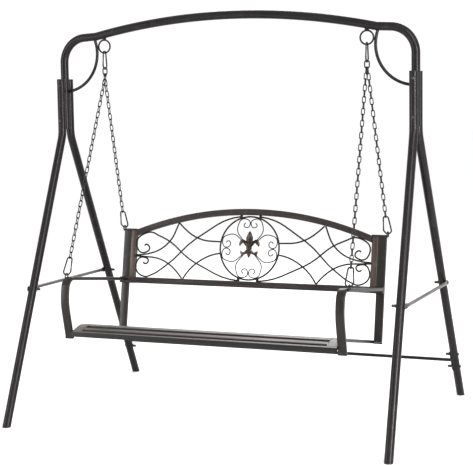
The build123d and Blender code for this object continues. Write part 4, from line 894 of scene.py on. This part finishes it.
def wire_data(line, depth, s, thick=2 * WIRE_R, wide=WIRE_WIDE):
    """A scroll of hammered wire, wider in the panel's plane than it is thick."""
    path = [back(s * x, up, depth) for x, up in line]
    body = super_round(thick, wide, 0.9, 14)
    tip = super_round(thick * 0.7, wide * 0.7, 0.9, 14)
    first = path[0] + (path[0] - path[1]).normalized() * RUN_ON
    last = path[-1] + (path[-1] - path[-2]).normalized() * RUN_ON
    return sweep_data([first] + path + [last], [tip] + [body] * len(path) + [tip], BACK_OUT)


def ring_edge(share):
    rise = PANEL_TALL * share
    return (math.sqrt(ARC_START ** 2 - rise * rise), PANEL_MID + rise)


def make_scrollwork():
    low, tall = PANEL_LOW + CLEAR, underside(HIGH_PEAK) - CLEAR
    upper = [panel(p) for p in UPPER] + [(TAB_SIDE, low + FIT)]
    lower = [panel(p) for p in LOWER] + [(TAB_SIDE, PANEL_MID + PANEL_TALL * 0.962 - CLEAR)]
    # Points, first and last heading, and layer of each arc
    arcs = ((((PANEL_WIDE - FIT, PANEL_MID - PANEL_TALL * 0.308), panel((0.706, 0.1154)),
              (HIGH_PEAK + CLEAR, tall - FIT)), 180, 112, REAR_LAYER),
            (((PANEL_WIDE + 5 - FIT, PANEL_MID - PANEL_TALL * 0.343), panel((0.7009, -0.5429)),
              (LOW_PEAK + CLEAR, low)), 180, 232, FRONT_LAYER),
            ((ring_edge(0.1712), panel((0.4381, 0.25)), (HIGH_PEAK - CLEAR, tall)), 0, 45,
             FRONT_LAYER),
            ((ring_edge(-0.1795), panel((0.4549, -0.5064)), (LOW_PEAK - CLEAR, low)), -8, -60,
             REAR_LAYER))
    for side, s in SIDES:
        for name, line, ways, depth in (("upper_scroll", upper, UPPER_WAYS, FRONT_LAYER),
                                        ("lower_scroll", lower, LOWER_WAYS, REAR_LAYER)):
            wire = wire_data(smooth_line(line, *ways), depth, s)
            piece(f"{name}_wire_{side}", [wire], WIRE, f"{name}_{side}")
        wires = [wire_data(smooth_line(line, a, b), depth, s) for line, a, b, depth in arcs]
        piece(f"panel_arc_wires_{side}", wires, WIRE, f"panel_arcs_{side}")
    ring = [ring_data(back(0, PANEL_MID, RING_LAYER), ACROSS, BACK_UP, RING_MID, RING_SHOWN, 96,
                      14)]
    rise = math.sqrt(TAB_REACH ** 2 - TAB_X ** 2)
    tab_top = underside(TAB_X + TAB_WIDE / 2) - FIT
    for x in (-TAB_X, TAB_X):
        for ends in ((PANEL_LOW + FIT, PANEL_MID - rise), (PANEL_MID + rise, tab_top)):
            ring.append(sweep_data([back(x, up, RING_LAYER) for up in ends],
                                   oblong_section(TAB_WIDE, 7, 1.2), ACROSS))
    piece("centre_ring_wire", ring, WIRE, "centre_ring")
    half = smooth_line([(RING_INNER * x, RING_INNER * y) for x, y in HEART], *HEART_WAYS, 9)
    hearts = []
    for c, n in ((1, 0), (0, 1), (-1, 0), (0, -1)):
        for s in (1, -1):
            line = [(s * x * c - y * n, PANEL_MID + s * x * n + y * c) for x, y in half]
            hearts.append(wire_data(line, RING_LAYER, 1, HEART_DEEP, HEART_WIDE))
    piece("heart_scroll_wires", hearts, WIRE, "heart_scrolls")


# Ornament: outlines as shares of its height, from its middle
ORNAMENT_TALL, ORNAMENT_UP, ORNAMENT_FACE = 126.0, PANEL_MID + 18.0, RING_LAYER - 2.3
LEAF = ((0.1, 0.03), (0.121, 0.119), (0.175, 0.15), (0.262, 0.19), (0.365, 0.143),
        (0.413, 0.016), (0.381, -0.079), (0.341, -0.032), (0.3, 0.046), (0.238, 0.079),
        (0.151, 0.0), (0.09, -0.111))
BUD = ((0.0, 0.5), (0.088, 0.365), (0.139, 0.222), (0.122, 0.119), (0.098, 0.0),
       (0.086, -0.111), (-0.086, -0.111), (-0.098, 0.0), (-0.122, 0.119), (-0.139, 0.222),
       (-0.088, 0.365))
LOW_LEAF = ((0.06, -0.165), (0.119, -0.238), (0.206, -0.294), (0.286, -0.285), (0.341, -0.235),
            (0.349, -0.318), (0.294, -0.43), (0.214, -0.4), (0.151, -0.37), (0.07, -0.33))
STEM = ((0.075, -0.165), (0.075, -0.36), (0.05, -0.43), (0.0, -0.5), (-0.05, -0.43),
        (-0.075, -0.36), (-0.075, -0.165))
BUD_SWELL, LEAF_SWELL, STEM_SWELL, BAND_AT = 7.6, 5.2, 6.4, -0.143
# Share of the outline and of the swelling, from the back to the crest
SWELL = ((1.0, 0.0), (1.0, 0.22), (0.93, 0.5), (0.78, 0.76), (0.55, 0.93), (0.22, 1.0))


def rounded_closed(points, steps=5):
    """A closed smooth outline through points."""
    out, n = [], len(points)
    for i in range(n):
        p0, p1, p2, p3 = (Vector(points[(i + k) % n]) for k in (-1, 0, 1, 2))
        for k in range(steps):
            t = k / steps
            out.append(0.5 * (2 * p1 + (p2 - p0) * t + (2 * p0 - 5 * p1 + 4 * p2 - p3) * t * t
                              + (3 * p1 - p0 - 3 * p2 + p3) * t ** 3))
    return out


def relief_data(outline, height):
    """A leaf of cast metal: a smooth outline that swells towards its middle."""
    line = rounded_closed([(x * ORNAMENT_TALL, y * ORNAMENT_TALL) for x, y in outline])
    mid = sum(line, Vector((0, 0))) / len(line)
    verts, uvs = [], []
    for scale, lift in SWELL:
        for p in line:
            q = mid + (p - mid) * scale
            verts.append(back(q.x, ORNAMENT_UP + q.y, ORNAMENT_FACE - height * lift))
            uvs.append((q.x * MM, q.y * MM))
    n, last = len(line), len(SWELL) - 1
    faces = [(r * n + i, r * n + (i + 1) % n, (r + 1) * n + (i + 1) % n, (r + 1) * n + i)
             for r in range(last) for i in range(n)]
    faces += [tuple(range(n)), tuple(last * n + i for i in range(n))]
    return verts, faces, uvs


def make_ornament():
    parts = [relief_data(BUD, BUD_SWELL)]
    for s in (1, -1):
        for leaf in (LEAF, LOW_LEAF):
            parts.append(relief_data([(s * x, y) for x, y in leaf], LEAF_SWELL))
    parts.append(relief_data(STEM, STEM_SWELL))
    up = ORNAMENT_UP + BAND_AT * ORNAMENT_TALL
    band = [back(x, up, RING_LAYER - 6.2) for x in (-14, -13, 13, 14)]
    end, middle = super_round(6, 9, 0.8, 20), super_round(7.6, 11, 0.8, 20)
    parts.append(sweep_data(band, [end, middle, middle, end], BACK_OUT))
    piece("cast_flower_ornament", parts, CAST, "ornament", 50)


# Studio, in metres
FLOOR_HALF = 60
# Name, spot, width and height, and power of each lamp
LAMPS = (("key", (3.4, -4.0, 4.4), (2.6, 2.6), 170), ("rear", (-1.0, 4.6, 4.2), (3, 3), 120),
         ("right_strip", (4.4, -3.0, 1.3), (0.35, 2.8), 240),
         ("left_strip", (-3.4, -3.6, 1.3), (0.35, 2.8), 80))
LAMP_AIM = Vector((0, 0, 0.9))
CAMERA_SPOT = Vector((2.2619, -5.4921, 1.4304))
YAW, PITCH, ROLL = math.radians(22.555), math.radians(5.722), math.radians(-0.887)
# The focal length and the picture's width, both in pixels, and the sensor's width
FOCAL, PICTURE_WIDE, SENSOR = 1294.08, 473, 36


def make_floor():
    half = FLOOR_HALF / MM
    floor = mesh_object("studio_floor", [(-half, -half, 0), (half, -half, 0), (half, half, 0),
                                         (-half, half, 0)], [(0, 1, 2, 3)], smooth=False)
    paper = bpy.data.materials.new("pale_floor")
    paper.use_nodes = True
    tree = paper.node_tree
    shader = tree.nodes["Principled BSDF"]
    noise = place(tree, "TexNoise", {"Scale": 3.0, "Detail": 3.0})
    tone = place(tree, "Mix", {"A": (0.95, 0.95, 0.95, 1), "B": (0.98, 0.98, 0.98, 1)},
                 data_type="RGBA")
    tree.links.new(noise.outputs["Fac"], tone.inputs["Factor"])
    tree.links.new(tone.outputs["Result"], shader.inputs["Base Color"])
    fill(shader, {"Roughness": 0.9, "Specular IOR Level": 0.1})
    floor.data.materials.append(paper)


def make_studio():
    scene = bpy.context.scene
    scene.view_settings.view_transform = "Standard"
    make_floor()
    world = bpy.data.worlds.new("studio")
    scene.world = world
    world.use_nodes = True
    fill(world.node_tree.nodes["Background"], {"Color": (1, 1, 1, 1), "Strength": 1.04})
    for name, spot, size, power in LAMPS:
        data = bpy.data.lights.new(name, "AREA")
        data.shape = "RECTANGLE"
        data.size, data.size_y = size
        data.energy = power
        lamp = bpy.data.objects.new(name, data)
        lamp.location = spot
        lamp.rotation_euler = (LAMP_AIM - Vector(spot)).to_track_quat("-Z", "Y").to_euler()
        scene.collection.objects.link(lamp)
    level = math.cos(PITCH)
    ahead = Vector((-math.sin(YAW) * level, math.cos(YAW) * level, -math.sin(PITCH)))
    right = Vector((math.cos(YAW), math.sin(YAW), 0))
    up = right.cross(ahead)
    cam_right = right * math.cos(ROLL) + up * math.sin(ROLL)
    cam_up = up * math.cos(ROLL) - right * math.sin(ROLL)
    data = bpy.data.cameras.new("photo_view")
    data.sensor_fit = "HORIZONTAL"
    data.sensor_width = SENSOR
    data.lens = FOCAL / PICTURE_WIDE * SENSOR
    camera = bpy.data.objects.new("photo_view", data)
    matrix = Matrix((cam_right, cam_up, -ahead)).transposed().to_4x4()
    matrix.translation = CAMERA_SPOT
    camera.matrix_world = matrix
    scene.collection.objects.link(camera)
    scene.camera = camera


make_legs()
make_top_frame()
make_stand_links()
make_chains()
make_bench_frame()
make_seat()
make_scrollwork()
make_ornament()
make_studio()
